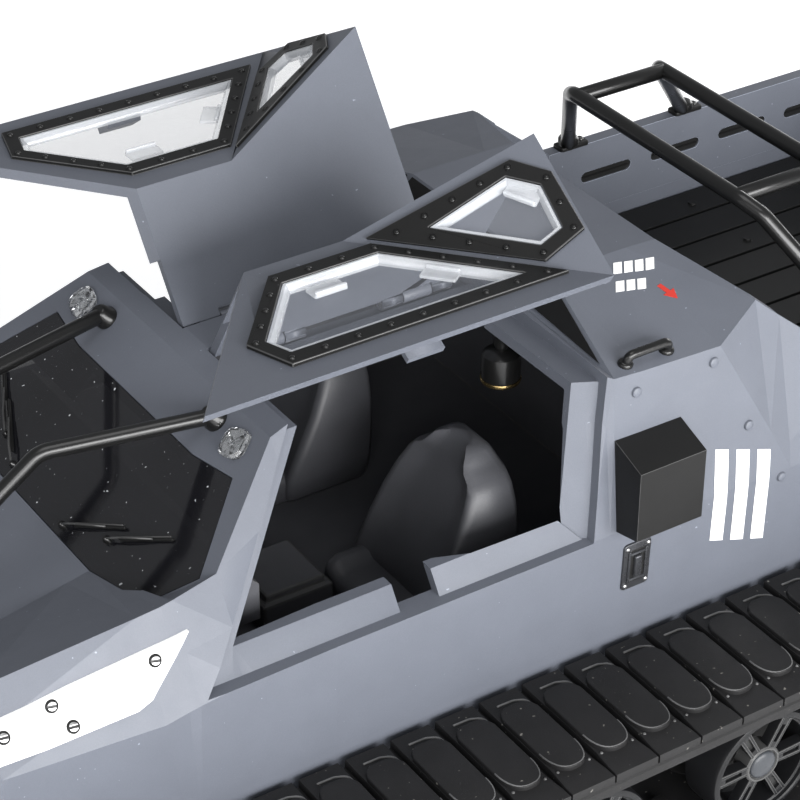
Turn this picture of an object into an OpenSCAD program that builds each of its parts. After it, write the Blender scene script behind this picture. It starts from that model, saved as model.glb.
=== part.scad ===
/* [Overall] */
// Height of the track's upper run above the ground
deck_z = 46.45; // [46.45:0.01:46.45]
// Half length of the vehicle over its bumpers
half_length = 197.5; // [196:0.5:199]

/* [Track] */
// Distance from the centre line to the track's inner edge
track_in = 72.2; // [72:0.1:73]
// Width of a track
track_w = 39.5; // [39:0.1:40]
// Radius of a road wheel
wheel_r = 16.1; // [15.8:0.1:16.3]
// Number of road wheels on a side
wheel_count = 5; // [5:1:5]
// Distance between neighbouring road wheels
wheel_pitch = 52; // [50:0.5:52]
// Rear-most road wheel along the vehicle
wheel_rear_x = -127; // [-128:0.5:-126]
// Gap between a wheel and the track's inner face
wheel_gap = 0.35; // [0.3:0.05:0.5]
// Radius of the front idler
idler_r = 12.5; // [12:0.1:13]
// Front idler along the vehicle
idler_x = 152; // [150:0.5:153]
// Radius of the rear sprocket over its teeth
sprocket_r = 13.5; // [13:0.1:14]
// Rear sprocket along the vehicle
sprocket_x = -166; // [-167:0.5:-165]
// Thickness of the rubber carcass
carcass_t = 3.2; // [3:0.1:3.4]
// Height of a pad's base plate over the carcass
plate_t = 2.3; // [2:0.1:2.5]
// Height of a pad's raised slab over its base plate
slab_t = 1.3; // [1:0.1:1.5]
// Nominal distance between neighbouring pads
pad_pitch = 12.5; // [12:0.1:13]

/* [Doors] */
// Opening of the left door at rest
left_open = 59.6; // [50:0.1:65]
// Opening of the right door at rest
right_open = 53.9; // [50:0.1:65]
// Wall of a door
door_t = 2.2; // [2:0.1:2.4]
// Gap between a closed door and the body
door_gap = 0.6; // [0.5:0.1:0.8]

/* [Axles] */
// Radius of a stub axle
axle_r = 2; // [1.8:0.1:2.2]
// Running clearance of a wheel on its axle
run_gap = 0.05; // [0.03:0.01:0.08]

/* [Hidden] */
$fn = 48;

// ---- colours
paint = [0.42, 0.46, 0.50];
black = [0.06, 0.06, 0.07];
rubber = [0.10, 0.10, 0.10];
steel = [0.45, 0.46, 0.48];
clear = [0.75, 0.80, 0.85, 0.4];
white = [0.93, 0.93, 0.92];

// ---- heights: the file's heights count from the track's upper run
belt_t = carcass_t + plate_t;
wheel_z = -(deck_z - slab_t - belt_t - wheel_gap - wheel_r);
idler_z = -(idler_r + wheel_gap + belt_t);
sprocket_z = -(sprocket_r + wheel_gap + belt_t);

// ---- body sections: [x, [half outline from the bottom corner to the roof's centre]]
side_foot = 33.4;
side_y = 71.5;
roof_y = 42.8;
roof_z = 75.4;
lean = (side_y - roof_y) / (roof_z - side_foot);
glass_slope = tan(40);
function glass_z(x) = 69.8 - (x - 81.4) * glass_slope;
function side_at(z) = side_y - (z - side_foot) * lean;
sill_z = -6;
nose_x = 190;
quarter_x = -80;
bed_rear_x = -190;
door_front_x = 70.5;
door_crease_x = 44.5;
door_rear_y = 66.2;
sill_rear_x = 5.4;
rail_y = 7.6;
rail_z = 73.4;
foot = [side_y, side_foot];
// A point part of the way down the side from the roof's corner
function below(y, z) = [y, z] + (foot - [y, z]) * 0.3;
function rear_line(x) = door_rear_y + (roof_y - door_rear_y) * x / door_crease_x;

cab_sections = [
    [nose_x, [[56, 6], [60, 20], [57, 24], [54, 28], [26, 25], [0, 25]]],
    [160, [[69, -4], [72.5, 34], [66.2, 41.8], [60, 49.5], [26.4, 33], [0, 33]]],
    [121, [[70, sill_z], [72.4, 31], [66.7, 42], [61, 53], [26.4, 40.4], [0, 40.4]]],
    [115.1, [[70, sill_z], [72.2, 31.8], [66.5, 42.7], [60.9, 53.4], [26.4, 41.6], [0, 41.6]]],
    [112, [[70, sill_z], [72.1, 32.2], [66.3, 43], [60.6, 53.7], [47.7, 44.1], [0, 44.1]]],
    [99.6, [[70, sill_z], [72, side_foot], [65.2, 44], [58.5, 54.6], [50, 54.5], [0, 54.5]]],
    [76.5, [[70, sill_z], foot, below(side_at(73.9), 73.9), [side_at(73.9), 73.9],
            [30, 73.9], [0, 73.9]]],
    [door_front_x, [[70, sill_z], foot, below(roof_y, roof_z), [roof_y, roof_z],
            [30, roof_z], [0, roof_z]]],
    [door_crease_x, [[70, sill_z], foot, below(roof_y, roof_z), [roof_y, roof_z],
            [30, roof_z], [0, roof_z]]],
    [sill_rear_x, [[70, sill_z], foot, below(rear_line(sill_rear_x), roof_z),
            [rear_line(sill_rear_x), roof_z], [30, roof_z], [0, roof_z]]],
    [0, [[70, sill_z], foot, below(door_rear_y, roof_z), [door_rear_y, roof_z],
            [30, roof_z], [0, roof_z]]],
    [-2, [[70, sill_z], foot, below(67.2, 74.5), [67.2, 74.5], [30, 75.8], [0, 75.8]]],
    [-10.5, [[70, sill_z], [side_y, 33], below(67.5, 74.1), [67.5, 74.1], [30, 82], [0, 82]]],
    [-33, [[70, sill_z], [71, 32], [68.5, 66], [68, 73.5], [30.2, 82], [0, 82]]],
    [-50, [[70, sill_z], [70.7, 31.4], [69.8, 44], [60, 76.6], [30.4, 81.6], [0, 81.6]]],
    [-57, [[69.8, sill_z], [70.5, 31], [69.4, 38], [61.2, 70.6], [30, 70.6], [0, 70.6]]],
    [quarter_x, [[69.5, sill_z], [70.2, 30], [69.3, 37], [67, 52], [30, 52], [0, 52]]]
];
rear_sections = [
    [quarter_x, [[69.5, sill_z], [70, 16], [70, 30], [50, 30], [30, 30], [0, 30]]],
    [bed_rear_x, [[68, 6], [68.6, 18], [69, 30], [50, 30], [30, 30], [0, 30]]]
];

// The stretch of sections in which the windscreen meets the hood in a valley
valley_k = 4;

// ---- outline and solid helpers
function full(half) = concat(
    [for (p = half) p],
    [for (i = [len(half) - 2 : -1 : 0]) [-half[i][0], half[i][1]]]
);
function rot90(v) = [v[1], -v[0]];
function unit(v) = v / norm(v);
function inset_point(a, p, b, t) =
    let (n1 = rot90(unit(p - a)), n2 = rot90(unit(b - p)), m = unit(n1 + n2))
    p - m * t / max(0.6, m * n1);
function inset_ring(ring, t) =
    let (n = len(ring))
    [for (i = [0 : n - 1]) inset_point(ring[(i + n - 1) % n], ring[i], ring[(i + 1) % n], t)];
function ring_at(sections, k, t) =
    t == 0 ? full(sections[k][1]) : inset_ring(full(sections[k][1]), t);
// A four-sided facet split so that it folds outwards, or inwards in a valley
function quad(a, b, c, d, pts, valley) =
    let (n = cross(pts[b] - pts[a], pts[d] - pts[a]), bulge = n * (pts[c] - pts[a]) < 0)
    bulge == valley ? [[a, c, b], [a, d, c]] : [[a, d, b], [b, d, c]];

// A closed solid through a row of cross sections, from the front to the rear
module loft(sections, t = 0) {
    rings = [for (k = [0 : len(sections) - 1]) ring_at(sections, k, t)];
    n = len(rings[0]);
    m = len(rings);
    pts = [for (k = [0 : m - 1], p = rings[k]) [sections[k][0], p[0], p[1]]];
    skin = [for (k = [0 : m - 2], i = [0 : n - 1], f = quad(
        k * n + i, (k + 1) * n + i, (k + 1) * n + (i + 1) % n, k * n + (i + 1) % n, pts,
        k == valley_k && (i == 3 || i == 6))) f];
    front = [[for (i = [n - 1 : -1 : 0]) i]];
    rear = [[for (i = [0 : n - 1]) (m - 1) * n + i]];
    polyhedron(points = pts, faces = concat(front, skin, rear), convexity = 10);
}

// Everything is drawn from the track's upper run and lifted by its height
module lifted() {
    translate([0, 0, deck_z]) children();
}

module both_sides() {
    children();
    mirror([0, 1, 0]) children();
}

// A slab with the given lower and upper corners
module block(low, high) {
    translate(low) cube(high - low);
}

// A rod between two points
module rod(a, b, r) {
    d = b - a;
    translate(a) rotate([0, acos(d[2] / norm(d)), atan2(d[1], d[0])]) cylinder(r = r, h = norm(d));
}

// A bent tube through a row of points
joint_swell = 0.08;
module tube(points, r) {
    for (i = [0 : len(points) - 2]) rod(points[i], points[i + 1], r);
    for (i = [1 : len(points) - 2]) translate(points[i]) sphere(r = r + joint_swell, $fn = 32);
}

// A plate whose outline is a row of points in one plane; it reaches from low to high along the
// plane's outward normal
function plane_normal(p) = unit(cross(p[1] - p[0], p[2] - p[0]));
module plate(points, low, high) {
    o = points[0];
    n = plane_normal(points);
    u = unit(points[1] - points[0]);
    v = cross(n, u);
    multmatrix([
        [u[0], v[0], n[0], o[0]],
        [u[1], v[1], n[1], o[1]],
        [u[2], v[2], n[2], o[2]],
        [0, 0, 0, 1]
    ])
        translate([0, 0, low])
            linear_extrude(high - low) polygon([for (p = points) [(p - o) * u, (p - o) * v]]);
}

// An outline in side view, extruded across the vehicle
module side_cut(points, y0, y1) {
    translate([0, y1, 0]) rotate([90, 0, 0]) linear_extrude(y1 - y0) polygon(points);
}

// ---- the door opening, in side view and from above
module door_zone(g) {
    side_cut([[109.1 + 1.9 * g, side_foot - g], [door_front_x + g, roof_z], [door_front_x + g, 95],
              [-g, 95], [-g, roof_z], [sill_rear_x - g, side_foot - g]], 25 - max(g, 0), 95);
}
module roof_zone(g, y0) {
    block([-g, y0, 62], [door_front_x + g, 26, 95]);
}

// ---- lower structure
tub_wall = 2.5;
tub_y = 67;
tub_top = sill_z;
tub_outline = [[165, tub_top], [165, -12], [132, -27], [-172, -27], [-174, -25], [-174, tub_top]];
tub_inside = [[162, tub_top + 1], [162, -10.6], [131, -24.5], [-171.5, -24.5],
              [-171.5, tub_top + 1]];
shaft_r = 3;
cover_low = [-62, -26];
cover_high = [28, 26];
switch_x = 106.5;
switch_travel = 3;

function wheel_x(i) = wheel_rear_x + (wheel_count - i) * wheel_pitch;

module chassis_tub() {
    color(paint) lifted() difference() {
        union() {
            side_cut(tub_outline, -tub_y, tub_y);
            block([-174, -69.5, tub_top - 3], [150, 69.5, tub_top]);
        }
        side_cut(tub_inside, -tub_y + tub_wall, tub_y - tub_wall);
        block([cover_low[0], cover_low[1], -30], [cover_high[0], cover_high[1], -22]);
        block([switch_x - 1.5, -1.6, -30], [switch_x + switch_travel + 1.5, 1.6, -20]);
        both_sides() translate([sprocket_x, tub_y + 5, sprocket_z])
            rotate([90, 0, 0]) cylinder(r = shaft_r + run_gap, h = 12);
    }
}

module battery_cover() {
    color(black) lifted() {
        block([-61.8, -25.8, -27], [27.8, 25.8, -24.7]);
        for (x = [-50 : 10 : 20]) block([x, -20, -27.6], [x + 4, 20, -26.8]);
    }
}

module battery_pack() {
    color([0.15, 0.25, 0.45]) lifted() block([-58, -22, -24.5], [24, 22, -8.5]);
}

module control_board() {
    color([0.1, 0.35, 0.2]) lifted() {
        block([50, -20, -24.5], [92, 20, -22.9]);
        block([56, -12, -22.9], [70, 4, -19]);
        for (y = [-14, -4, 6]) block([80, y, -22.9], [88, y + 8, -16]);
    }
}

// The drive at the rear: a gearbox and a motor on each side
module gearboxes() {
    color(black) lifted() both_sides() difference() {
        block([-171, 24, -24.4], [-145, 64.4, -8]);
        translate([sprocket_x, 70, sprocket_z])
            rotate([90, 0, 0]) cylinder(r = shaft_r + run_gap, h = 24);
    }
}

module drive_motors() {
    color(steel) lifted() both_sides() {
        translate([-145, 38, -15]) rotate([0, 90, 0]) cylinder(r = 8.5, h = 30);
        translate([-115, 38, -15]) rotate([0, 90, 0]) cylinder(r = 3, h = 3);
    }
}

module stub_axles() {
    color(steel) lifted() both_sides() {
        for (i = [1 : wheel_count]) stub(wheel_x(i), wheel_z);
        stub(idler_x, idler_z);
    }
}
module stub(x, z) {
    translate([x, tub_y, z]) rotate([-90, 0, 0]) {
        cylinder(r = axle_r, h = 36);
        cylinder(r = 4.5, h = 5);
    }
}

// The switch slides along its slot in the tub's floor
module power_switch() {
    color(black) lifted() {
        block([switch_x - 2.5, -3, -28.6], [switch_x + 2.5, 3, -27.1]);
        block([switch_x - 1.1, -1.3, -27.2], [switch_x + 1.1, 1.3, -22.5]);
    }
}

// ---- tracks: centre and radius of each guide circle, counter-clockwise from the front idler
guides = [
    [idler_x, idler_z, idler_r],
    [sprocket_x, sprocket_z, sprocket_r],
    [wheel_x(wheel_count), wheel_z, wheel_r],
    [wheel_x(1), wheel_z, wheel_r]
];
function guide(i) = guides[(i + 4) % 4];
// Outward normal of the straight run that leaves guide circle i
function run_normal(i) =
    let (a = guide(i), b = guide(i + 1), d = [b[0] - a[0], b[1] - a[1]], k = (a[2] - b[2]) / norm(d))
    unit(d) * k + rot90(unit(d)) * sqrt(1 - k * k);
function leave(i, t) = [guide(i)[0], guide(i)[1]] + run_normal(i) * (guide(i)[2] + t);
function arrive(i, t) = [guide(i)[0], guide(i)[1]] + run_normal(i - 1) * (guide(i)[2] + t);
function run_length(i) = norm(arrive(i + 1, 0) - leave(i, 0));
function heading(n) = atan2(n[1], n[0]);
function turn(i) = (heading(run_normal(i)) - heading(run_normal(i - 1)) + 720) % 360;
function arc_length(i, t) = turn(i) * PI / 180 * (guide(i)[2] + t);
lay_t = wheel_gap + carcass_t;
function loop_part(i) = run_length(i) + arc_length(i + 1, lay_t);
loop_length = loop_part(0) + loop_part(1) + loop_part(2) + loop_part(3);
pad_count = round(loop_length / pad_pitch);
// Place and outward angle of the loop at length s from the start of the upper run
function loop_at(s, i = 0) =
    s < run_length(i)
    ? [leave(i, lay_t) + s * unit(arrive(i + 1, 0) - leave(i, 0)), heading(run_normal(i))]
    : s < loop_part(i)
    ? let (a = heading(run_normal(i)) + (s - run_length(i)) / arc_length(i + 1, lay_t) * turn(i + 1))
      [[guide(i + 1)[0], guide(i + 1)[1]] + (guide(i + 1)[2] + lay_t) * [cos(a), sin(a)], a]
    : loop_at(s - loop_part(i), i + 1);

arc_steps = 12;
function arc_point(i, t, k) =
    let (a = heading(run_normal(i - 1)) + turn(i) * k / arc_steps)
    [guide(i)[0], guide(i)[1]] + (guide(i)[2] + t) * [cos(a), sin(a)];
module loop_outline(t) {
    polygon([for (i = [0 : 3], k = [0 : arc_steps]) arc_point(i, t, k)]);
}

slab_w = 10.6;
slab_in = 5.5;
slab_out = 8;
module pad() {
    block([-5.6, 0.4, -0.9], [5.6, track_w - 0.4, plate_t]);
    intersection() {
        block([-slab_w / 2, slab_in, plate_t - 0.2], [slab_w / 2, track_w - slab_out, plate_t + slab_t]);
        translate([0, track_w - slab_out - 9.5, 0]) cylinder(r = 9.5, h = 9);
        block([-slab_w / 2, 0, 0], [slab_w / 2, track_w, 9]);
    }
    block([-slab_w / 2, slab_in, plate_t - 0.2],
          [slab_w / 2, track_w - slab_out - 9.5, plate_t + slab_t]);
}

lug_w = 4;
lug_h = 3;
module track() {
    difference() {
        translate([0, track_in + track_w, 0]) rotate([90, 0, 0])
            linear_extrude(track_w) loop_outline(lay_t);
        translate([0, track_in + track_w + 1, 0]) rotate([90, 0, 0])
            linear_extrude(track_w + 2) loop_outline(wheel_gap);
    }
    for (k = [0 : pad_count - 1]) {
        place = loop_at((k + 0.5) * loop_length / pad_count);
        translate([place[0][0], track_in, place[0][1]]) rotate([0, 90 - place[1], 0]) {
            pad();
            block([-2, (track_w - lug_w) / 2, -carcass_t - lug_h],
                  [2, (track_w + lug_w) / 2, -carcass_t + 0.6]);
        }
    }
}
module track_left() {
    color(rubber) lifted() track();
}
module track_right() {
    color(rubber) lifted() mirror([0, 1, 0]) track();
}

// ---- wheels, drawn on their own axis with the outer face up
wheel_in = 80;
wheel_out = 108.4;
groove_lo = 87.5;
groove_hi = 96.5;
web_y = 97.5;
module wheel_body(r, spokes, spoke_w) {
    w = wheel_out - wheel_in;
    barrel = r - 2.4;
    difference() {
        union() {
            rotate_extrude() polygon([
                [3, 0], [r - 5, 0], [r, 1], [r, groove_lo - wheel_in], [r - 4, groove_lo - wheel_in],
                [r - 4, groove_hi - wheel_in], [r, groove_hi - wheel_in], [r, w - 0.8], [r - 0.8, w],
                [barrel + 0.5, w], [barrel, w - 0.8], [barrel - 0.4, web_y - wheel_in + 2],
                [3, web_y - wheel_in + 2]
            ]);
            cylinder(r = 5.4, h = w - 1.4);
            for (k = [0 : spokes - 1]) rotate([0, 0, 360 / spokes * k])
                block([4, -spoke_w / 2, w - 4], [barrel + 0.8, spoke_w / 2, w - 1.2]);
            translate([0, 0, w - 1.6]) rotate_extrude() intersection() {
                translate([0, -6]) circle(r = 8.2);
                square([4.6, 3]);
            }
        }
        for (k = [0 : spokes - 1]) rotate([0, 0, 360 / spokes * k])
            block([r * 0.52, -0.4, w - 5], [r * 0.74, 0.4, w]);
        translate([0, 0, -1]) cylinder(r = axle_r + run_gap, h = 24.6);
    }
}
module on_axle(x, z, side) {
    lifted() mirror([0, side, 0]) translate([x, wheel_in, z]) rotate([-90, 0, 0]) children();
}
module road_wheel(i, side) {
    color(black) on_axle(wheel_x(i), wheel_z, side) wheel_body(wheel_r, 6, 3);
}
module idler(side) {
    color(black) on_axle(idler_x, idler_z, side) wheel_body(idler_r, 5, 2.6);
}
teeth = 10;
tooth_angles = [[-14, -3.2], [-7, -0.1], [7, -0.1], [14, -3.2]];
tooth_outline = [for (k = [0 : teeth - 1], q = tooth_angles)
    (sprocket_r + q[1]) * [cos(360 / teeth * k + q[0]), sin(360 / teeth * k + q[0])]];
module sprocket(side) {
    w = wheel_out - wheel_in;
    color(black) on_axle(sprocket_x, sprocket_z, side) {
        difference() {
            union() {
                for (z = [[1, groove_lo - wheel_in], [groove_hi - wheel_in, w - 1]])
                    translate([0, 0, z[0]]) linear_extrude(z[1] - z[0]) polygon(tooth_outline);
                cylinder(r = sprocket_r - 5.5, h = w);
            }
            for (k = [0 : 4]) rotate([0, 0, 72 * k + 18])
                translate([5.6, 0, w - 5]) cylinder(r = 1.2, h = 8);
        }
        translate([0, 0, -wheel_in + 50]) cylinder(r = shaft_r, h = wheel_in - 50 + 0.5);
    }
}
module road_wheel_left_1() { road_wheel(1, 0); }
module road_wheel_left_2() { road_wheel(2, 0); }
module road_wheel_left_3() { road_wheel(3, 0); }
module road_wheel_left_4() { road_wheel(4, 0); }
module road_wheel_left_5() { road_wheel(5, 0); }
module road_wheel_right_1() { road_wheel(1, 1); }
module road_wheel_right_2() { road_wheel(2, 1); }
module road_wheel_right_3() { road_wheel(3, 1); }
module road_wheel_right_4() { road_wheel(4, 1); }
module road_wheel_right_5() { road_wheel(5, 1); }
module idler_left() { idler(0); }
module idler_right() { idler(1); }
module sprocket_left() { sprocket(0); }
module sprocket_right() { sprocket(1); }

// ---- body shell
shell_t = 3.2;
rebate_t = 2.8;
rim_t = 5.5;
rim_w = 5;
bed_y = 64.6;
bed_floor_z = 25.7;
ledge_z = bed_floor_z - 3;
wall_top = 52;
knuckle_r = 1.9;
pin_r = 1;
fixed_knuckles = [[10, 18], [52, 60]];
door_knuckles = [[4, 9.6], [18.4, 24], [46, 51.6], [60.4, 66]];

module opening_zone(g, y0) {
    door_zone(g);
    roof_zone(g, y0);
}

function on_glass(p) = [p[0], p[1], glass_z(p[0])];
glass_outline = [[115.1, -26.4], [115.1, 26.4], [112, 47.2], [102.2, 55.5], [86, 43], [87.8, 28],
    [87.8, -28], [86, -43], [102.2, -55.5], [112, -47.2]];
module on_windscreen(inset, low, high) {
    outline = inset_ring(glass_outline, inset);
    plate([for (p = outline) on_glass(p)], low, high);
}

bed_plan = [[-42, -30], [-42, 30], [-50, 57.5], [-57, 58.7], [-81, 63.8],
    [-81, -63.8], [-57, -58.7], [-50, -57.5]];
catch_x = [47, 57.8];

module door_frame_rim() {
    difference() {
        intersection() {
            loft(cab_sections, rebate_t);
            opening_zone(3.5, 5.5);
        }
        loft(cab_sections, rim_t);
        opening_zone(-rim_w, 13);
        block([-10, -80, 40], [80, 5.5, 95]);
        catch_notch();
        hinge_slot();
        plate(side_plate, -door_t - door_gap, 2);
        plate(rear_plate, -door_t - door_gap, 2);
    }
}

module catch_notch() {
    block([catch_x[0], 60, side_foot - door_gap], [catch_x[1], 72, 42]);
}

module hinge_slot() {
    block([-door_gap, 5.5, 71.2], [door_front_x + door_gap, 10.4, 80]);
}

module on_lamp_spot() {
    both_sides() translate(on_glass(lamp_spot)) rotate([0, 40, 0]) children();
}

module body_shell() {
    color(paint) lifted() {
        difference() {
            union() {
                loft(cab_sections);
                loft(rear_sections);
            }
            intersection() {
                loft(cab_sections, shell_t);
                block([-38.8, -80, -10], [nose_x - 3, 80, 90]);
            }
            block([-38.8, -66.6, -20], [158, 66.6, 20]);
            intersection() {
                loft(rear_sections, shell_t);
                block([-187, -80, -10], [-80.5, 80, ledge_z - 3.5]);
            }
            block([-187, -66, -20], [-42.2, 66, ledge_z - 3.5]);
            block([-183, -61, 10], [-48, 61, ledge_z + 1]);
            block([-186.8, -bed_y, ledge_z], [-44.5, bed_y, wall_top + 1]);
            intersection() {
                loft(cab_sections, shell_t);
                block([-85, -80, ledge_z], [-44.5, 80, 90]);
            }
            translate([0, 0, ledge_z]) linear_extrude(90) polygon(bed_plan);
            on_windscreen(0, -1.3, 5);
            on_windscreen(2, -9, 5);
            both_sides() difference() {
                opening_zone(door_gap, 5.5);
                loft(cab_sections, rebate_t);
            }
            both_sides() hinge_slot();
            both_sides() catch_notch();
            both_sides() intersection() {
                opening_zone(door_gap, 5.5);
                union() {
                    plate(side_plate, -door_t - door_gap, 2);
                    plate(rear_plate, -door_t - door_gap, 2);
                }
            }
            on_lamp_spot() cylinder(r = 4.4, h = 3, $fn = 8);
            both_sides() opening_zone(-rim_w, 13);
        }
        both_sides() door_frame_rim();
        both_sides() for (k = fixed_knuckles) difference() {
            union() {
                block([k[0], 4, 71.2], [k[1], 7.6, 75]);
                translate([k[0], rail_y, rail_z]) rotate([0, 90, 0])
                    cylinder(r = knuckle_r, h = k[1] - k[0]);
            }
            translate([k[0] - 1, rail_y, rail_z]) rotate([0, 90, 0])
                cylinder(r = pin_r, h = k[1] - k[0] + 2);
        }
    }
}

module hinge_pins() {
    color(steel) lifted() both_sides() for (k = fixed_knuckles)
        translate([k[0] - 6, rail_y, rail_z]) rotate([0, 90, 0]) cylinder(r = pin_r, h = 20);
}

// ---- doors, drawn closed and swung open about the rail
edge_lap = 2;
corner_b = [door_front_x, roof_y, roof_z];
corner_c = [door_crease_x, roof_y, roof_z];
corner_d = [0, door_rear_y, roof_z];
corner_a = [109.1, side_y, side_foot];
corner_e = [sill_rear_x, side_y, side_foot];
rear_lap = corner_d + (corner_d - corner_c) * 0.06;
hinge_front = [door_front_x, 8.2, roof_z];
hinge_rear = [0, 8.2, roof_z];
roof_panel = [hinge_rear - [edge_lap, 0, 0], hinge_front + [edge_lap, 0, 0],
    corner_b + [edge_lap, 0, 0], corner_c, rear_lap];
rear_panel = [corner_e, corner_d, corner_c];
rear_n = plane_normal(rear_panel);
fold_lap = unit(cross(rear_n, corner_c - corner_e)) * 1.5;
rear_plate = [
    corner_e + fold_lap + (corner_e - corner_c) * 0.05,
    corner_e + rear_lap - corner_d + (corner_e - corner_d) * 0.05,
    rear_lap, corner_c, corner_c + fold_lap
];
function on_side(p) = [p[0], side_at(p[1]), p[1]];
side_plate = [on_side([corner_e[0] - edge_lap, side_foot - 1]), corner_c - [1.5, 0, 0],
    corner_b + [edge_lap, 0, 0], on_side([corner_a[0] + edge_lap, side_foot - 1])];
function on_rear(p) =
    [p[0], side_y - (rear_n[0] * (p[0] - sill_rear_x) + rear_n[2] * (p[1] - side_foot)) / rear_n[1], p[1]];
side_window = [[21.2, 42.8], [41.9, 66.3], [67.1, 66.3], [83.9, 48.7], [81.9, 42.8]];
side_frame = [[12.9, 38.8], [40.7, 70], [68, 70], [88, 49.6], [84.4, 38.8]];
rear_window = [[7.6, 49.8], [5.6, 62.2], [10.2, 68.6], [29, 66.9], [13.2, 48.6]];
rear_frame = [[4.2, 47], [2.2, 63.9], [7.3, 72], [40.4, 72.6], [14.4, 44.6]];
frame_t = 1;

module window_plate(outline, grow, low, high, rear) {
    ring = grow == 0 ? outline : inset_ring(outline, grow);
    plate([for (p = ring) rear ? on_rear(p) : on_side(p)], low, high);
}

module swung(open) {
    lifted() translate([0, rail_y, rail_z]) rotate([open, 0, 0]) translate([0, -rail_y, -rail_z])
        children();
}

module door_shell() {
    difference() {
        union() {
            intersection() {
                union() {
                    plate(roof_panel, -door_t, 0);
                    plate(side_plate, -door_t, 0);
                    plate(rear_plate, -door_t, 0);
                }
                union() {
                    door_zone(0);
                    roof_zone(0, 8.2);
                }
            }
            for (k = door_knuckles) translate([k[0], rail_y, rail_z]) rotate([0, 90, 0])
                cylinder(r = knuckle_r, h = k[1] - k[0]);
            block([47.7, 62.3, 33.6], [57.1, 63.9, 41.5]);
        }
        for (k = fixed_knuckles) block([k[0] - 0.4, 0, 70], [k[1] + 0.4, 10.2, 80]);
        translate([-1, rail_y, rail_z]) rotate([0, 90, 0]) cylinder(r = pin_r + run_gap, h = 75);
        window_plate(side_window, 1, -4, 1, false);
        window_plate(rear_window, 1, -4, 1, true);
    }
}

module door_frames() {
    difference() {
        window_plate(side_frame, 0, 0, frame_t, false);
        window_plate(side_window, 0, -1, 2, false);
    }
    difference() {
        window_plate(rear_frame, 0, 0, frame_t, true);
        window_plate(rear_window, 0, -1, 2, true);
    }
}

module door_panes() {
    window_plate(side_window, 0.9, -1.7, 0, false);
    window_plate(rear_window, 0.9, -1.7, 0, true);
}

// Rivets at even steps along the middle of a window frame
rivet_step = 8.2;
module rivet_row(a, b, n) {
    count = max(1, round(norm(b - a) / rivet_step));
    for (i = [0 : count - 1]) {
        p = a + (b - a) * i / count + n * frame_t;
        rod(p, p + n * 0.5, 0.75);
    }
}
module frame_rivets(outer, inner, rear) {
    ring = [for (i = [0 : len(outer) - 1]) (outer[i] + inner[i]) / 2];
    pts = [for (p = ring) rear ? on_rear(p) : on_side(p)];
    n = plane_normal(pts);
    for (i = [0 : len(pts) - 1]) rivet_row(pts[i], pts[(i + 1) % len(pts)], n);
}
module door_rivets() {
    frame_rivets(side_frame, side_window, false);
    frame_rivets(rear_frame, rear_window, true);
}

module door_left_shell() { color(paint) swung(left_open) door_shell(); }
module door_left_frames() { color(black) swung(left_open) door_frames(); }
module door_left_panes() { color(clear) swung(left_open) door_panes(); }
module door_left_rivets() { color(black) swung(left_open) door_rivets(); }
module door_right_shell() { color(paint) mirror([0, 1, 0]) swung(right_open) door_shell(); }
module door_right_frames() { color(black) mirror([0, 1, 0]) swung(right_open) door_frames(); }
module door_right_panes() { color(clear) mirror([0, 1, 0]) swung(right_open) door_panes(); }
module door_right_rivets() { color(black) mirror([0, 1, 0]) swung(right_open) door_rivets(); }

// ---- cabin
floor_z = 4;
module cockpit_tub() {
    color(black) lifted() {
        block([-37, -62, floor_z - 2], [100, 62, floor_z]);
        both_sides() {
            block([-37, 62, tub_top], [100, 63.5, 27.5]);
            block([-37, 63.5, tub_top], [100, 66.2, tub_top + 2]);
        }
        block([98.5, -62, floor_z], [100, 62, 31]);
        translate([-35.5, 0, 0]) rotate([0, -90, 0]) linear_extrude(1.5)
            polygon([[floor_z, -62], [floor_z, 62], [60, 60], [70, 54], [70, -54], [60, -60]]);
    }
}

module seat() {
    back = [[16, 6], [38, 6], [38, 12], [26, 34], [21, 46.5], [14, 46.5], [10, 38], [10, 14]];
    cushion = [[20, floor_z], [46, floor_z], [48, 10], [44, 13], [24, 12]];
    side_cut(cushion, 17, 49);
    intersection() {
        side_cut(back, 14, 52);
        translate([0, 33, 0]) rotate([90, 0, 90]) linear_extrude(60)
            polygon([[-17, 5], [17, 5], [18, 30], [14, 39], [9, 42], [7.5, 46.5],
                     [-7.5, 46.5], [-9, 42], [-14, 39], [-18, 30]]);
    }
    block([14, 22, floor_z], [22, 44, 8]);
}
module seat_left() { color(black) lifted() seat(); }
module seat_right() { color(black) lifted() mirror([0, 1, 0]) seat(); }

module dashboard() {
    color(black) lifted()
        side_cut([[84, 30], [98, 30], [98, floor_z], [98.4, floor_z], [98.4, 46], [92, 48],
                  [84, 40]], -50, 50);
}

module console_box() {
    color(black) lifted() {
        block([50, 6, floor_z], [70, 27, 12]);
        block([51.5, 7.5, 12], [68.5, 25.5, 14]);
        block([50, -27, floor_z], [70, -6, 12]);
        block([51.5, -25.5, 12], [68.5, -7.5, 14]);
    }
}

module cabin_spotlight() {
    color(black) lifted() translate([3.4, 30, 0]) {
        translate([0, 0, 57]) cylinder(r = 5, h = 8);
        translate([0, 0, 55]) cylinder(r1 = 4, r2 = 5, h = 2, $fn = 32);
        translate([0, 0, 65]) cylinder(r = 2, h = roof_z - rim_t - 65);
    }
}

// ---- windscreen, wipers, lamps and guard
module windscreen() {
    color(clear) lifted() on_windscreen(0.2, -1.3, 0);
}

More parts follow.
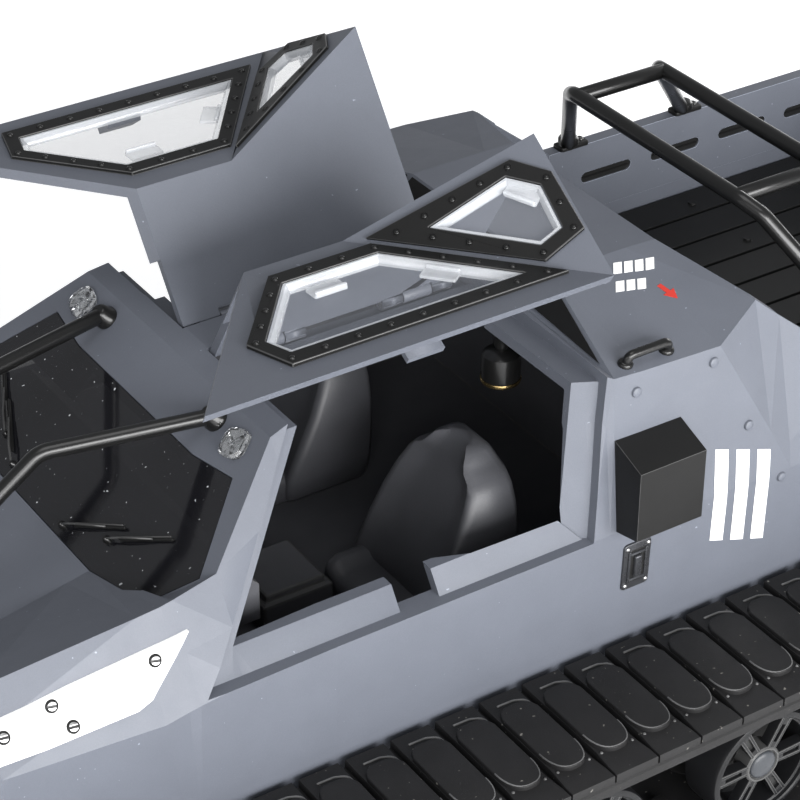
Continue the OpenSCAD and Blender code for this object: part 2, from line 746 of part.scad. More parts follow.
wiper_pairs = [
    [[113, 10], [103.5, 31]],
    [[109, 25], [99.5, 44]],
    [[112, -17.5], [104.5, -34]],
    [[109, -26.5], [101.5, -42]]
];
function above_glass(p, h) = on_glass(p) + h * [sin(40), 0, cos(40)];
module wipers() {
    color(black) lifted() for (w = wiper_pairs) {
        rod(above_glass(w[0], 1.5), above_glass(w[1], 1.5), 0.45);
        rod(above_glass(w[0], 0.02), above_glass(w[0], 2.2), 0.7);
    }
}

lamp_spot = [81.4, 36.9];
module roof_lamps() {
    color(clear) lifted() on_lamp_spot() {
        cylinder(r = 4.3, h = 1.4, $fn = 8);
        translate([0, 0, 1.4]) cylinder(r = 3, h = 0.9, $fn = 8);
    }
}

guard_r = 1.9;
guard_foot_x = 172;
function hood_z(x) = 33 - (x - 160) * 8 / 30;
module brush_guard() {
    color(black) lifted() both_sides() {
        translate(on_glass([81.4, 26.5])) rotate([0, 40, 0]) cylinder(r = 2.6, h = 4);
        tube([[82.8, 26.3, 71.6], [121, 17.6, 71.3], [131, 17.2, 63.8], [guard_foot_x + 0.7, 17, 32]],
             guard_r);
        translate([guard_foot_x, 17, hood_z(guard_foot_x)]) rotate([0, atan(8 / 30), 0])
            cylinder(r = 3.4, h = 4);
    }
}

module front_bumper() {
    color(black) lifted() {
        side_cut([[nose_x, 6], [nose_x + 5, 5], [half_length, 8], [half_length, 15], [nose_x + 4, 18],
                  [nose_x, 18]], -52, 52);
        both_sides() block([nose_x, 28, 1], [half_length - 1, 33, 10]);
    }
}

module headlamps() {
    color(clear) lifted() both_sides() for (y = [36, 46])
        translate([nose_x, y, 21.8]) rotate([0, 90, 0]) {
            cylinder(r = 3, h = 2.6);
            cylinder(r = 2.2, h = 3.2);
        }
}

module roof_grille() {
    color(black) lifted() off_body() {
        plate([[-2.8, -28.6, 76.38], [-2.8, 28.6, 76.38], [-9.8, 28.6, 81.49], [-9.8, -28.6, 81.49]],
              -0.3, 0.7);
        both_sides() plate([[-2.5, 61, 75.1], [-9.6, 31.2, 81.3], [-3.1, 31.2, 76.56]], -0.5, 0.5);
    }
}

// ---- cargo bed
board_count = 10;
module bed_floor() {
    width = 2 * (bed_y - 0.3) / board_count;
    color(black) lifted() {
        block([-186.6, -bed_y + 0.3, ledge_z], [-44.7, bed_y - 0.3, bed_floor_z - 1]);
        for (i = [0 : board_count - 1]) {
            y = -bed_y + 0.3 + i * width;
            block([-186.6, y + 0.6, bed_floor_z - 1.2], [-44.7, y + width - 0.6, bed_floor_z]);
        }
        for (x = [-180 : 26 : -50], y = [-57 : 25.6 : 60])
            translate([x, y, bed_floor_z - 0.2]) cylinder(r = 1.2, h = 0.8);
    }
}

slot_length = 18;
slot_h = 3.4;
slot_z = 41;
module bed_walls() {
    color(paint) lifted() both_sides() difference() {
        union() {
            block([-189.5, bed_y, 30], [quarter_x - 0.2, bed_y + 2.4, wall_top]);
            block([-189.5, bed_y, wall_top - 1.4], [quarter_x - 0.2, bed_y + 4, wall_top]);
            block([-189.5, bed_y, 30], [quarter_x - 0.2, bed_y + 3.8, 31.4]);
        }
        for (i = [0 : 3]) translate([-101 - i * 25.4, 0, slot_z]) {
            block([-(slot_length - slot_h) / 2, bed_y - 1, -slot_h / 2],
                  [(slot_length - slot_h) / 2, bed_y + 5, slot_h / 2]);
            for (s = [-1, 1]) translate([s * (slot_length - slot_h) / 2, bed_y + 5, 0])
                rotate([90, 0, 0]) cylinder(r = slot_h / 2, h = 6);
        }
    }
}

module tailgate() {
    color(paint) lifted() {
        block([-189.6, -bed_y + 0.2, 30], [-187.2, bed_y - 0.2, wall_top]);
        for (y = [-48, -16, 16, 48]) block([-191.4, y - 8, 33], [-189.6, y + 8, 49]);
        both_sides() block([-half_length, 44, 34], [-191.4, 52, 40]);
    }
}

cage_r = 2.1;
cage_bars = [
    [[-88, 66.4, 55], [-68, 40, 85.2], [-65.2, 34.5, 88]],
    [[-129.5, 66.4, 55], [-98, 40, 85], [-94, 34.5, 88]]
];
module roll_cage() {
    color(black) lifted() {
        for (bar = cage_bars) {
            tube(concat(bar, [for (i = [2 : -1 : 0]) [bar[i][0], -bar[i][1], bar[i][2]]]), cage_r);
            both_sides() {
                translate([bar[0][0] - 1.4, 66.5, wall_top]) cylinder(r = 3, h = 3.4);
                block([bar[0][0] - 6, bed_y, wall_top], [bar[0][0] + 4, bed_y + 4, wall_top + 1]);
            }
        }
        both_sides() rod([-65.2, 33, 88], [-94, 33, 88], cage_r);
    }
}

// ---- fittings on the body's sides
module off_body(h = 0) {
    difference() {
        children();
        loft(cab_sections, -h);
    }
}

module side_boxes() {
    color(black) lifted() both_sides() off_body()
        translate([-21.3, 0, 0]) rotate([90, 0, 90]) linear_extrude(19.5)
            polygon([[67, 33.4], [70.5, 33.4], [79.4, 35.4], [79.4, 54.6], [69, 58.4], [67, 58.4]]);
}

module latch_plates() {
    color(black) lifted() both_sides() off_body() {
        block([-12.4, 69.5, 14.6], [-4.6, 72, 28.2]);
        block([-10, 69.5, 17], [-7, 73, 26]);
        for (x = [-11.2, -5.8], z = [16, 26.8]) translate([x, 72.6, z]) rotate([90, 0, 0])
            cylinder(r = 0.7, h = 2);
    }
}

handle_x = [-19.7, -7.6];
module grab_handles() {
    color(black) lifted() both_sides() {
        off_body() for (x = handle_x) translate([x, 64, 73]) rotate([-12, 0, 0])
            cylinder(r = 1.3, h = 5);
        rod([handle_x[0], 64.9, 77.7], [handle_x[1], 64.9, 77.7], 1.1);
    }
}

bolt_spots = [[-8.2, 69.2], [-30.9, 69.8], [-42.5, 48.5], [-54, 29.5]];
module side_bolts() {
    color(paint) lifted() both_sides() off_body() for (p = bolt_spots)
        translate([p[0], 66, p[1]]) rotate([-90, 0, 0])
            cylinder(r = 1.2, h = 70.9 - 66 - (p[1] - 33) * 0.055);
}

fender_outline = [[110.4, 47.4], [112, 46], [122.7, 37.3], [126.5, 36.3],
    [166, 36.8], [161, 43.5], [140, 45.5]];
plate_h = 0.8;
module fender_plates() {
    color(white) lifted() both_sides() intersection() {
        side_cut(fender_outline, 50, 80);
        difference() {
            loft(cab_sections, -plate_h);
            loft(cab_sections);
        }
    }
}

screw_spots = [[119.8, 44.4], [144.9, 43.2], [141.9, 38.6], [157, 41]];
module plate_screws() {
    color(steel) lifted() both_sides() off_body(plate_h) for (p = screw_spots)
        translate([p[0], side_at(p[1]) + 0.4, p[1]]) rotate([-55.7, 0, 0]) difference() {
            cylinder(r = 1.6, h = 2.3);
            block([-0.3, -2, 1.8], [0.3, 2, 3]);
        }
}

module chassis_screws() {
    color(steel) lifted() for (x = [-120, 70, 120], y = [-52, 52])
        translate([x, y, -28]) cylinder(r = 2.2, h = 1);
}

chassis_tub();
body_shell();
cockpit_tub();
seat_left();
seat_right();
dashboard();
console_box();
windscreen();
wipers();
roof_lamps();
brush_guard();
front_bumper();
headlamps();
roof_grille();
bed_floor();
bed_walls();
tailgate();
roll_cage();
side_boxes();
latch_plates();
grab_handles();
side_bolts();
fender_plates();
plate_screws();
cabin_spotlight();
track_left();
track_right();
stub_axles();
gearboxes();
drive_motors();
battery_pack();
battery_cover();
control_board();
power_switch();
chassis_screws();
hinge_pins();
door_left_shell();
door_left_frames();
door_left_panes();
door_left_rivets();
door_right_shell();
door_right_frames();
door_right_panes();
door_right_rivets();
road_wheel_left_1();
road_wheel_left_2();
road_wheel_left_3();
road_wheel_left_4();
road_wheel_left_5();
road_wheel_right_1();
road_wheel_right_2();
road_wheel_right_3();
road_wheel_right_4();
road_wheel_right_5();
idler_left();
idler_right();
sprocket_left();
sprocket_right();
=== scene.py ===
"""The looks of a tracked vehicle model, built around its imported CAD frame.

Sizes are in millimetres, and heights count from the track's upper run, as in the part's source.
"""

import math

import bmesh
import bpy
from mathutils import Matrix, Vector


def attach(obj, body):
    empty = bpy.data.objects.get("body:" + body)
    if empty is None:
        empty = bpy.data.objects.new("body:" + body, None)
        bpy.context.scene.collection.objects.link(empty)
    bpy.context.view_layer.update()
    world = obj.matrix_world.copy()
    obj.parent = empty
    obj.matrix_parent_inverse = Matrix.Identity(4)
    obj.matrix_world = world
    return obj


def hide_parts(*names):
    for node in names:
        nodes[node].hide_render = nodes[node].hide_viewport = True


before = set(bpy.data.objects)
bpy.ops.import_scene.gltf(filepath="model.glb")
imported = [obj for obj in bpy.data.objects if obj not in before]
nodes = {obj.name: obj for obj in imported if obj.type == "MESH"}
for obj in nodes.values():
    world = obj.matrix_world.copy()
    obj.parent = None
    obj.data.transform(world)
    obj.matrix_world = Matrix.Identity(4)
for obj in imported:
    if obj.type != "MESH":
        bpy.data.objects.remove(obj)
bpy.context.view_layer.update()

# ---- frames of reference
MM = 0.001
DECK = 46.45
LIFT = Matrix.Scale(MM, 4) @ Matrix.Translation((0, 0, DECK))
SIDES = {"left": LIFT, "right": LIFT @ Matrix.Scale(-1, 4, (0, 1, 0))}
RAIL = Vector((0, 7.6, 73.4))
OPEN = {"left": 59.6, "right": 53.9}


def swung(side):
    """From a closed left door's own place to where the door of that side stands at rest."""
    turn = Matrix.Rotation(math.radians(OPEN[side]), 4, "X")
    return SIDES[side] @ Matrix.Translation(RAIL) @ turn @ Matrix.Translation(-RAIL)


def frame_of(origin, normal, along):
    """A matrix whose z is the normal and whose x is as near as can be to along."""
    z = Vector(normal).normalized()
    x = Vector(along)
    x = (x - z * x.dot(z)).normalized()
    y = z.cross(x)
    m = Matrix((x, y, z)).transposed().to_4x4()
    m.translation = Vector(origin)
    return m


# ---- materials
NOISE_ROUGHNESS = 0.6
CLOUD_MM, WEAR_MM, DUST_MM = 14, 6, 1.3
FINE_SHARE = 0.4
BUMP_DEPTH_MM = 0.08
COAT_ROUGHNESS = 0.12


def noise(tree, size_mm, detail=3.0):
    """Noise whose features are about size_mm across."""
    coord = tree.nodes.new("ShaderNodeTexCoord")
    n = tree.nodes.new("ShaderNodeTexNoise")
    n.inputs["Scale"].default_value = 1.0 / (size_mm * MM)
    n.inputs["Detail"].default_value = detail
    n.inputs["Roughness"].default_value = NOISE_ROUGHNESS
    tree.links.new(coord.outputs["Object"], n.inputs["Vector"])
    return n.outputs["Fac"]


def ramp(tree, value, low, high, colour_low, colour_high):
    """Turns a value into a colour between two colours, over the range from low to high."""
    r = tree.nodes.new("ShaderNodeValToRGB")
    r.color_ramp.elements[0].position = low
    r.color_ramp.elements[1].position = high
    r.color_ramp.elements[0].color = (*colour_low, 1)
    r.color_ramp.elements[1].color = (*colour_high, 1)
    tree.links.new(value, r.inputs["Fac"])
    return r.outputs["Color"]


def mixed(tree, fac, a, b):
    """Mixes two colours; each of the three may be a node's output or a plain value."""
    m = tree.nodes.new("ShaderNodeMix")
    m.data_type = "RGBA"
    for value, socket in ((fac, m.inputs[0]), (a, m.inputs[6]), (b, m.inputs[7])):
        if isinstance(value, bpy.types.NodeSocket):
            tree.links.new(value, socket)
        else:
            socket.default_value = value
    return m.outputs[2]


def spread(tree, value, low, high):
    """Maps a value from 0 to 1 onto low to high."""
    m = tree.nodes.new("ShaderNodeMapRange")
    m.inputs["To Min"].default_value = low
    m.inputs["To Max"].default_value = high
    tree.links.new(value, m.inputs["Value"])
    return m.outputs["Result"]


def grey(v):
    return (v, v, v)


def scaled(colour, k):
    return tuple(min(1.0, c * k) for c in colour)


def surface(name, colour, rough=(0.4, 0.55), grain_mm=0.35, bump=0.25, cloud=0.1, dust=None,
            metallic=0.0, coat=0.0, specular=0.4):
    """A solid surface: cloudy colour, fine grain in the roughness and bump, and specks of dust."""
    mat = bpy.data.materials.new(name)
    mat.use_nodes = True
    tree = mat.node_tree
    shader = tree.nodes["Principled BSDF"]
    shader.inputs["Metallic"].default_value = metallic
    shader.inputs["Coat Weight"].default_value = coat
    shader.inputs["Coat Roughness"].default_value = COAT_ROUGHNESS
    shader.inputs["Specular IOR Level"].default_value = specular
    tone = ramp(tree, noise(tree, CLOUD_MM), 0.3, 0.7, scaled(colour, 1 - cloud), scaled(colour, 1 + cloud))
    fine = ramp(tree, noise(tree, grain_mm), 0.35, 0.7, scaled(colour, 0.9), scaled(colour, 1.12))
    tone = mixed(tree, FINE_SHARE, tone, fine)
    if dust:
        level, speck_colour = dust
        spots = ramp(tree, noise(tree, DUST_MM, 1.0), level, level + 0.02, grey(0), grey(1))
        tone = mixed(tree, spots, tone, (*speck_colour, 1))
    tree.links.new(tone, shader.inputs["Base Color"])
    grain = noise(tree, grain_mm)
    tree.links.new(spread(tree, noise(tree, WEAR_MM, 5.0), *rough), shader.inputs["Roughness"])
    bumped = tree.nodes.new("ShaderNodeBump")
    bumped.inputs["Strength"].default_value = bump
    bumped.inputs["Distance"].default_value = BUMP_DEPTH_MM * MM
    tree.links.new(grain, bumped.inputs["Height"])
    tree.links.new(bumped.outputs["Normal"], shader.inputs["Normal"])
    return mat


def clear(name, colour, rough, alpha, dust=None):
    """Thin clear plastic: mostly see-through, with its gloss on top."""
    mat = surface(name, colour, rough=rough, bump=0.05, dust=dust, specular=0.7)
    mat.node_tree.nodes["Principled BSDF"].inputs["Alpha"].default_value = alpha
    return mat


PLASTIC_IOR = 1.46


def crystal(name):
    """Solid clear plastic that bends light, for lenses, ledges and tabs."""
    mat = surface(name, (0.93, 0.95, 0.97), rough=(0.02, 0.06), bump=0.03)
    shader = mat.node_tree.nodes["Principled BSDF"]
    shader.inputs["Transmission Weight"].default_value = 1.0
    shader.inputs["IOR"].default_value = PLASTIC_IOR
    return mat


BODY_COLOUR = (0.095, 0.103, 0.124)
WHITE_SPECK = (0.6, 0.62, 0.64)
paint = surface("body_plastic", BODY_COLOUR, (0.42, 0.56), 0.3, 0.3, 0.06, (0.79, scaled(BODY_COLOUR, 2.2)))
# The body colour made lighter for the bevelled edges: a painted highlight along every edge.
paint_edge_highlight = surface("body_plastic_edge_highlight", scaled(BODY_COLOUR, 3.2), (0.35, 0.5), 0.3, 0.25, 0.12)
black = surface("black_plastic", grey(0.007), (0.36, 0.48), 0.35, 0.35, 0.15,
                (0.82, grey(0.12)), specular=0.2)
# Grey edge colour for black plastic: a painted highlight on its bevels.
black_edge_highlight = surface("black_plastic_edge_highlight", grey(0.045), (0.3, 0.42), 0.35, 0.2, 0.3)
cabin = surface("cabin_plastic", (0.06, 0.061, 0.068), (0.45, 0.6), 0.5, 0.4, 0.15)
cabin_edge = surface("cabin_plastic_edge", grey(0.055), (0.35, 0.5), 0.5, 0.3, 0.15)
seat_skin = surface("seat_plastic", (0.05, 0.051, 0.057), (0.38, 0.5), 0.5, 0.5, 0.15)
gloss = surface("gloss_black", grey(0.006), (0.24, 0.34), 0.6, 0.08, 0.15,
                (0.84, grey(0.2)), coat=0.2, specular=0.3)
# Grey edge colour for gloss black: painted highlights on bevels, wiper arms and blades, and bolt heads.
gloss_edge_highlight = surface("gloss_black_edge_highlight", grey(0.035), (0.15, 0.25), 0.6, 0.05, 0.2, coat=0.4)
rubber = surface("track_rubber", (0.009, 0.0088, 0.0092), (0.5, 0.66), 0.3, 0.6, 0.3,
                 (0.745, (0.12, 0.115, 0.105)), specular=0.25)
# Grey rubber for the pads' shoulder lip, ribs and studs: a painted highlight on their raised edges.
rubber_edge_highlight = surface("track_rubber_edge_highlight", grey(0.08), (0.25, 0.5), 0.5, 0.4, 0.6)
wheel_black = surface("wheel_plastic", (0.008, 0.0082, 0.009), (0.3, 0.42), 0.5, 0.12, 0.15, specular=0.22)
# Grey edge colour for the wheels: painted highlights on spoke tops, hub collars and the sprockets' teeth.
wheel_edge_highlight = surface("wheel_plastic_edge_highlight", grey(0.05), (0.25, 0.36), 0.5, 0.1, 0.2, specular=0.3)
# Black for the wheels' barrels, also laid as painted shade in the bed-wall slots, the latch recesses and
# round the plate screws.
barrel_black_and_shade = surface("wheel_barrel_and_painted_shade", grey(0.008), (0.35, 0.5), 0.5, 0.2, 0.15)
hub_grey = surface("hub_grey", (0.035, 0.038, 0.043), (0.3, 0.4), 0.4, 0.15, 0.1, specular=0.3)
steel = surface("steel", grey(0.42), (0.25, 0.42), 0.4, 0.15, 0.15, metallic=1.0)
dark_steel = surface("dark_steel", (0.06, 0.062, 0.068), (0.2, 0.36), 0.4, 0.15, 0.3, metallic=0.6)
brass = surface("brass_ring", (0.62, 0.45, 0.2), (0.2, 0.32), 0.4, 0.1, 0.15, metallic=1.0)
white = surface("markings", (0.8, 0.8, 0.79), (0.3, 0.45), 0.4, 0.15, 0.03)
# A whiter edge for the marking plates: a painted highlight on their bevels.
white_edge_highlight = surface("markings_edge_highlight", (0.85, 0.85, 0.84), (0.3, 0.4), 0.4, 0.1, 0.03)
red = surface("markings_red", (0.45, 0.03, 0.02), (0.35, 0.5), 0.4, 0.15, 0.08)
wrap = surface("battery_wrap", (0.03, 0.08, 0.25), (0.2, 0.35), 0.6, 0.1, 0.1)
board = surface("circuit_board", (0.02, 0.12, 0.05), (0.3, 0.5), 0.5, 0.2, 0.2)
smoked = clear("windscreen_plastic", (0.008, 0.008, 0.010), (0.03, 0.1), 0.8, (0.755, WHITE_SPECK))
pane_clear = clear("clear_plastic", (0.24, 0.25, 0.28), (0.03, 0.09), 0.18, (0.8, WHITE_SPECK))
# Pale, half-clear plastic for the window ledges and tabs: a painted highlight standing in for the bright
# edges of clear plastic.
clear_edge_highlight = clear("clear_plastic_edge_highlight", (0.66, 0.68, 0.71), (0.08, 0.18), 0.42)
lens = crystal("lens_plastic")

# Each slot's colour and its bevels' colour; for the body, black, gloss, rubber, wheel and markings slots the
# second is a painted edge highlight.
PAIRS = {
    "body_plastic": (paint, paint_edge_highlight), "black_plastic": (black, black_edge_highlight),
    "cabin_plastic": (cabin, cabin_edge), "seat_plastic": (seat_skin, cabin_edge),
    "gloss_black": (gloss, gloss_edge_highlight), "track_rubber": (rubber, rubber_edge_highlight),
    "wheel_plastic": (wheel_black, wheel_edge_highlight), "steel": (steel, steel),
    "markings": (white, white_edge_highlight), "battery_wrap": (wrap, wrap),
    "circuit_board": (board, board), "clear_plastic": (pane_clear, lens),
}


# ---- bevels of the CAD nodes
EDGE_ANGLE, FLAT_ANGLE = 28, 0.4
WELD_MM = 0.002


def dress(name, slot, width_mm=0.0, merge=True):
    """Gives a CAD node its materials and, where width_mm is set, rounded edges of the second one, which for
    most slots is a lighter colour: a painted highlight on the edges.
    """
    obj = nodes[name]
    obj.data.materials.clear()
    for material in PAIRS[slot]:
        obj.data.materials.append(material)
    if width_mm:
        weld = obj.modifiers.new("weld", "WELD")
        weld.merge_threshold = WELD_MM * MM
        if merge:
            flat = obj.modifiers.new("flat", "DECIMATE")
            flat.decimate_type = "DISSOLVE"
            flat.angle_limit = math.radians(FLAT_ANGLE)
        bevel = obj.modifiers.new("edges", "BEVEL")
        bevel.width = width_mm * MM
        bevel.segments = 2
        bevel.limit_method = "ANGLE"
        bevel.angle_limit = math.radians(EDGE_ANGLE)
        bevel.miter_outer = "MITER_ARC"
        bevel.harden_normals = False
        bevel.use_clamp_overlap = True
        bevel.loop_slide = True
        bevel.material = 1
    return obj


# ---- mesh helpers: each returns points and faces in millimetres
def rings_to_mesh(rings, loop=False):
    """Joins rings of equally many points in a row; loop joins the last ring to the first."""
    n = len(rings[0])
    pts = [tuple(p) for ring in rings for p in ring]
    faces = []
    for k in range(len(rings) if loop else len(rings) - 1):
        k2 = (k + 1) % len(rings)
        for i in range(n):
            j = (i + 1) % n
            faces.append((k * n + i, k * n + j, k2 * n + j, k2 * n + i))
    if not loop:
        faces.append(tuple(range(n - 1, -1, -1)))
        faces.append(tuple((len(rings) - 1) * n + i for i in range(n)))
    return pts, faces


def inset(outline, t):
    """A convex outline, anticlockwise, drawn in by t."""
    out = []
    n = len(outline)
    for i in range(n):
        a, p, b = (Vector(outline[(i + k) % n]) for k in (-1, 0, 1))
        n1 = Vector(((p - a)[1], -(p - a)[0])).normalized()
        n2 = Vector(((b - p)[1], -(b - p)[0])).normalized()
        m = (n1 + n2).normalized()
        q = p - m * (t / max(0.5, m.dot(n1)))
        out.append((q[0], q[1]))
    return out


def prism(outline, z0, z1, edge=0.0, steps=3):
    """An upright prism with its top edge rounded, and the numbers of the faces on that edge."""
    rings = [[(x, y, z0) for x, y in outline], [(x, y, z1 - edge) for x, y in outline]]
    for k in range(1, steps + 1 if edge else 1):
        a = math.pi / 2 * k / steps
        ring = inset(outline, edge * (1 - math.cos(a)))
        rings.append([(x, y, z1 - edge * (1 - math.sin(a))) for x, y in ring])
    n = len(outline)
    return (*rings_to_mesh(rings), range(n, (len(rings) - 1) * n))


def arc(r, n, cx, cy, a0, a1):
    """Points on a circle from one angle to another, in degrees."""
    angles = [math.radians(a0 + (a1 - a0) * k / n) for k in range(n + 1)]
    return [(cx + r * math.cos(a), cy + r * math.sin(a)) for a in angles]


def lathe(profile, n=32, loop=False):
    """A profile of (r, z) points turned about z."""
    rings = [[(r * math.cos(2 * math.pi * k / n), r * math.sin(2 * math.pi * k / n), z)
              for k in range(n)] for r, z in profile]
    return rings_to_mesh(rings, loop=loop)


def dome(r, h, n=16, steps=4):
    """A low rounded head of radius r and height h."""
    profile = [(r, 0)]
    for k in range(steps + 1):
        a = math.pi / 2 * k / steps * 0.96
        profile.append((r * math.cos(a), 0.15 * h + 0.85 * h * math.sin(a)))
    return lathe(profile, n)


def filleted(points, bend, steps=8):
    """A route through the points with each corner rounded to the bend's radius."""
    pts = [Vector(p) for p in points]
    route = [pts[0]]
    for i in range(1, len(pts) - 1):
        a, p, b = pts[i - 1], pts[i], pts[i + 1]
        u, v = (a - p).normalized(), (b - p).normalized()
        angle = u.angle(v)
        if angle > math.radians(178):
            route.append(p)
            continue
        reach = min(bend / math.tan(angle / 2), (a - p).length * 0.48, (b - p).length * 0.48)
        r = reach * math.tan(angle / 2)
        centre = p + (u + v).normalized() * (r / math.sin(angle / 2))
        start, end = p + u * reach - centre, p + v * reach - centre
        sweep = start.angle(end)
        axis = start.cross(end).normalized()
        for k in range(steps + 1):
            route.append(centre + Matrix.Rotation(sweep * k / steps, 3, axis) @ start)
    route.append(pts[-1])
    return route


def rounding(ring, centre, t, depth):
    """Rings that round off the end of a tube, which runs along t."""
    out = []
    for k in (1, 2, 3):
        a = math.pi / 2 * k / 3.2
        out.append([centre + (Vector(q) - centre) * math.cos(a) + t * depth * math.sin(a) for q in ring])
    return out


def tube(points, r, bend=6.0, n=20, steps=8):
    """A round tube along a route, with its ends rounded off."""
    route = filleted(points, bend, steps)
    first = (route[1] - route[0]).normalized()
    side = first.orthogonal().normalized()
    rings = []
    before = first
    for i, p in enumerate(route):
        after = route[min(i + 1, len(route) - 1)]
        t = (after - route[max(i - 1, 0)]).normalized()
        turn = before.rotation_difference(t)
        side = (turn @ side).normalized()
        before = t
        up = t.cross(side)
        rings.append([p + (side * math.cos(2 * math.pi * k / n) + up * math.sin(2 * math.pi * k / n)) * r
                      for k in range(n)])
    last = (route[-1] - route[-2]).normalized()
    start = rounding(rings[0], route[0], first, -r / 2)[::-1]
    end = rounding(rings[-1], route[-1], last, r / 2)
    return rings_to_mesh(start + rings + end)


class Piece:
    """A visual piece under construction."""

    def __init__(self, materials):
        self.bm = bmesh.new()
        self.materials = materials

    def add(self, mesh, place=Matrix(), mat=0, rim=None):
        """Adds a mesh; the faces of a prism's rounded top edge take material rim."""
        pts, faces = mesh[:2]
        rims = mesh[2] if rim is not None else ()
        verts = [self.bm.verts.new(place @ Vector(p)) for p in pts]
        flip = place.to_3x3().determinant() < 0
        for k, f in enumerate(faces):
            ring = [verts[i] for i in (reversed(f) if flip else f)]
            try:
                face = self.bm.faces.new(ring)
            except ValueError:
                continue
            face.material_index = rim if k in rims else mat

    def done(self, name, body, place, replaces=(), sharp=32):
        """Makes the object; edges above the angle sharp, in degrees, stay sharp."""
        bm = self.bm
        bmesh.ops.transform(bm, matrix=place, verts=bm.verts)
        if place.to_3x3().determinant() < 0:
            bmesh.ops.reverse_faces(bm, faces=bm.faces)
        bmesh.ops.recalc_face_normals(bm, faces=bm.faces)
        for f in bm.faces:
            f.smooth = True
        for e in bm.edges:
            e.smooth = e.calc_face_angle(math.pi) < math.radians(sharp)
        mesh = bpy.data.meshes.new(name)
        bm.to_mesh(mesh)
        bm.free()
        obj = bpy.data.objects.new(name, mesh)
        bpy.context.scene.collection.objects.link(obj)
        for m in self.materials:
            mesh.materials.append(m)
        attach(obj, body)
        if replaces:
            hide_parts(*replaces)


# ---- CAD nodes that keep their shape; merged faces would close the openings of the unmerged ones
UNMERGED = ("tailgate", "door_left_shell", "door_right_shell")
for name, slot, width in (
    ("chassis_tub", "body_plastic", 0.5), ("body_shell", "body_plastic", 0.45),
    ("cockpit_tub", "cabin_plastic", 0.5), ("dashboard", "cabin_plastic", 0.8),
    ("console_box", "cabin_plastic", 0.8), ("front_bumper", "black_plastic", 0.6),
    ("roof_grille", "black_plastic", 0.0), ("bed_floor", "black_plastic", 0.25),
    ("bed_walls", "body_plastic", 0.35), ("tailgate", "body_plastic", 0.4),
    ("side_boxes", "black_plastic", 0.5), ("fender_plates", "markings", 0.15),
    ("stub_axles", "steel", 0.3), ("gearboxes", "black_plastic", 0.6),
    ("drive_motors", "steel", 0.4), ("battery_pack", "battery_wrap", 1.2),
    ("battery_cover", "black_plastic", 0.3), ("control_board", "circuit_board", 0.2),
    ("power_switch", "black_plastic", 0.2), ("chassis_screws", "steel", 0.3),
    ("hinge_pins", "steel", 0.2), ("headlamps", "clear_plastic", 0.3),
    ("door_left_shell", "body_plastic", 0.4), ("door_left_frames", "black_plastic", 0.22),
    ("door_right_shell", "body_plastic", 0.4), ("door_right_frames", "black_plastic", 0.22),
):
    dress(name, slot, width, merge=name not in UNMERGED)
screen = dress("windscreen", "clear_plastic")
screen.data.materials[0] = smoked

# ---- tracks
TRACK_IN, TRACK_W = 72.2, 39.5
GAP, CARCASS, PLATE, SLAB = 0.35, 3.2, 2.3, 1.3
BELT = CARCASS + PLATE
WHEEL_R, IDLER_R, SPROCKET_R = 16.1, 12.5, 13.5
WHEEL_X = {i: -127 + (5 - i) * 52 for i in range(1, 6)}
IDLER_X, SPROCKET_X = 152, -166
WHEEL_Z = -(DECK - SLAB - BELT - GAP - WHEEL_R)
IDLER_Z = -(IDLER_R + GAP + BELT)
SPROCKET_Z = -(SPROCKET_R + GAP + BELT)
GUIDES = [(IDLER_X, IDLER_Z, IDLER_R), (SPROCKET_X, SPROCKET_Z, SPROCKET_R),
          (WHEEL_X[5], WHEEL_Z, WHEEL_R), (WHEEL_X[1], WHEEL_Z, WHEEL_R)]
PAD_PITCH = 12.5


def run_normal(i):
    """The outward normal of the straight run from guide i to the next, as x and z."""
    a, b = GUIDES[i % 4], GUIDES[(i + 1) % 4]
    d = Vector((b[0] - a[0], b[1] - a[1]))
    k = (a[2] - b[2]) / d.length
    u = d.normalized()
    return u * k + Vector((u[1], -u[0])) * math.sqrt(1 - k * k)


def heading(v):
    return math.atan2(v[1], v[0])


def turn_at(i):
    """The angle that the belt turns through round guide i."""
    return (heading(run_normal(i)) - heading(run_normal(i - 1))) % (2 * math.pi)


def arc_point(i, t, part):
    """The point at height t over guide i, a part of the way round its turn, and its outward angle."""
    a = heading(run_normal(i - 1)) + turn_at(i) * part
    x, z, r = GUIDES[i % 4]
    return Vector((x + (r + t) * math.cos(a), z + (r + t) * math.sin(a))), a


def loop_places(t):
    """Evenly spaced places on the loop at height t over its guides: (point, outward angle)."""
    route = []
    for i in range(4):
        a, b = arc_point(i, t, 1)[0], arc_point(i + 1, t, 0)[0]
        route.append(((b - a).length, "run", i, a, b))
        route.append((turn_at(i + 1) * (GUIDES[(i + 1) % 4][2] + t), "arc", i + 1, None, None))
    length = sum(leg[0] for leg in route)
    count = round(length / PAD_PITCH)
    for k in range(count):
        s = (k + 0.5) * length / count
        for leg, kind, i, a, b in route:
            if s < leg:
                break
            s -= leg
        if kind == "run":
            yield a + (b - a) * s / leg, heading(run_normal(i))
        else:
            yield arc_point(i, t, s / leg)


def rounded(w, h, r, n=4):
    """A rectangle with rounded corners, centred on the origin."""
    out = []
    for cx, cy, a0 in ((w / 2 - r, h / 2 - r, 0), (-w / 2 + r, h / 2 - r, 90),
                       (-w / 2 + r, -h / 2 + r, 180), (w / 2 - r, -h / 2 + r, 270)):
        out += arc(r, n, cx, cy, a0, a0 + 90)
    return out


# A track pad is a wide base plate with a slab on it that ends in a round shoulder.
SLAB_HALF = 5.15
SLAB_START, SLAB_SHOULDER, SLAB_END = 6.4, 24.5, 32.2
SHOULDER_STEPS = 8


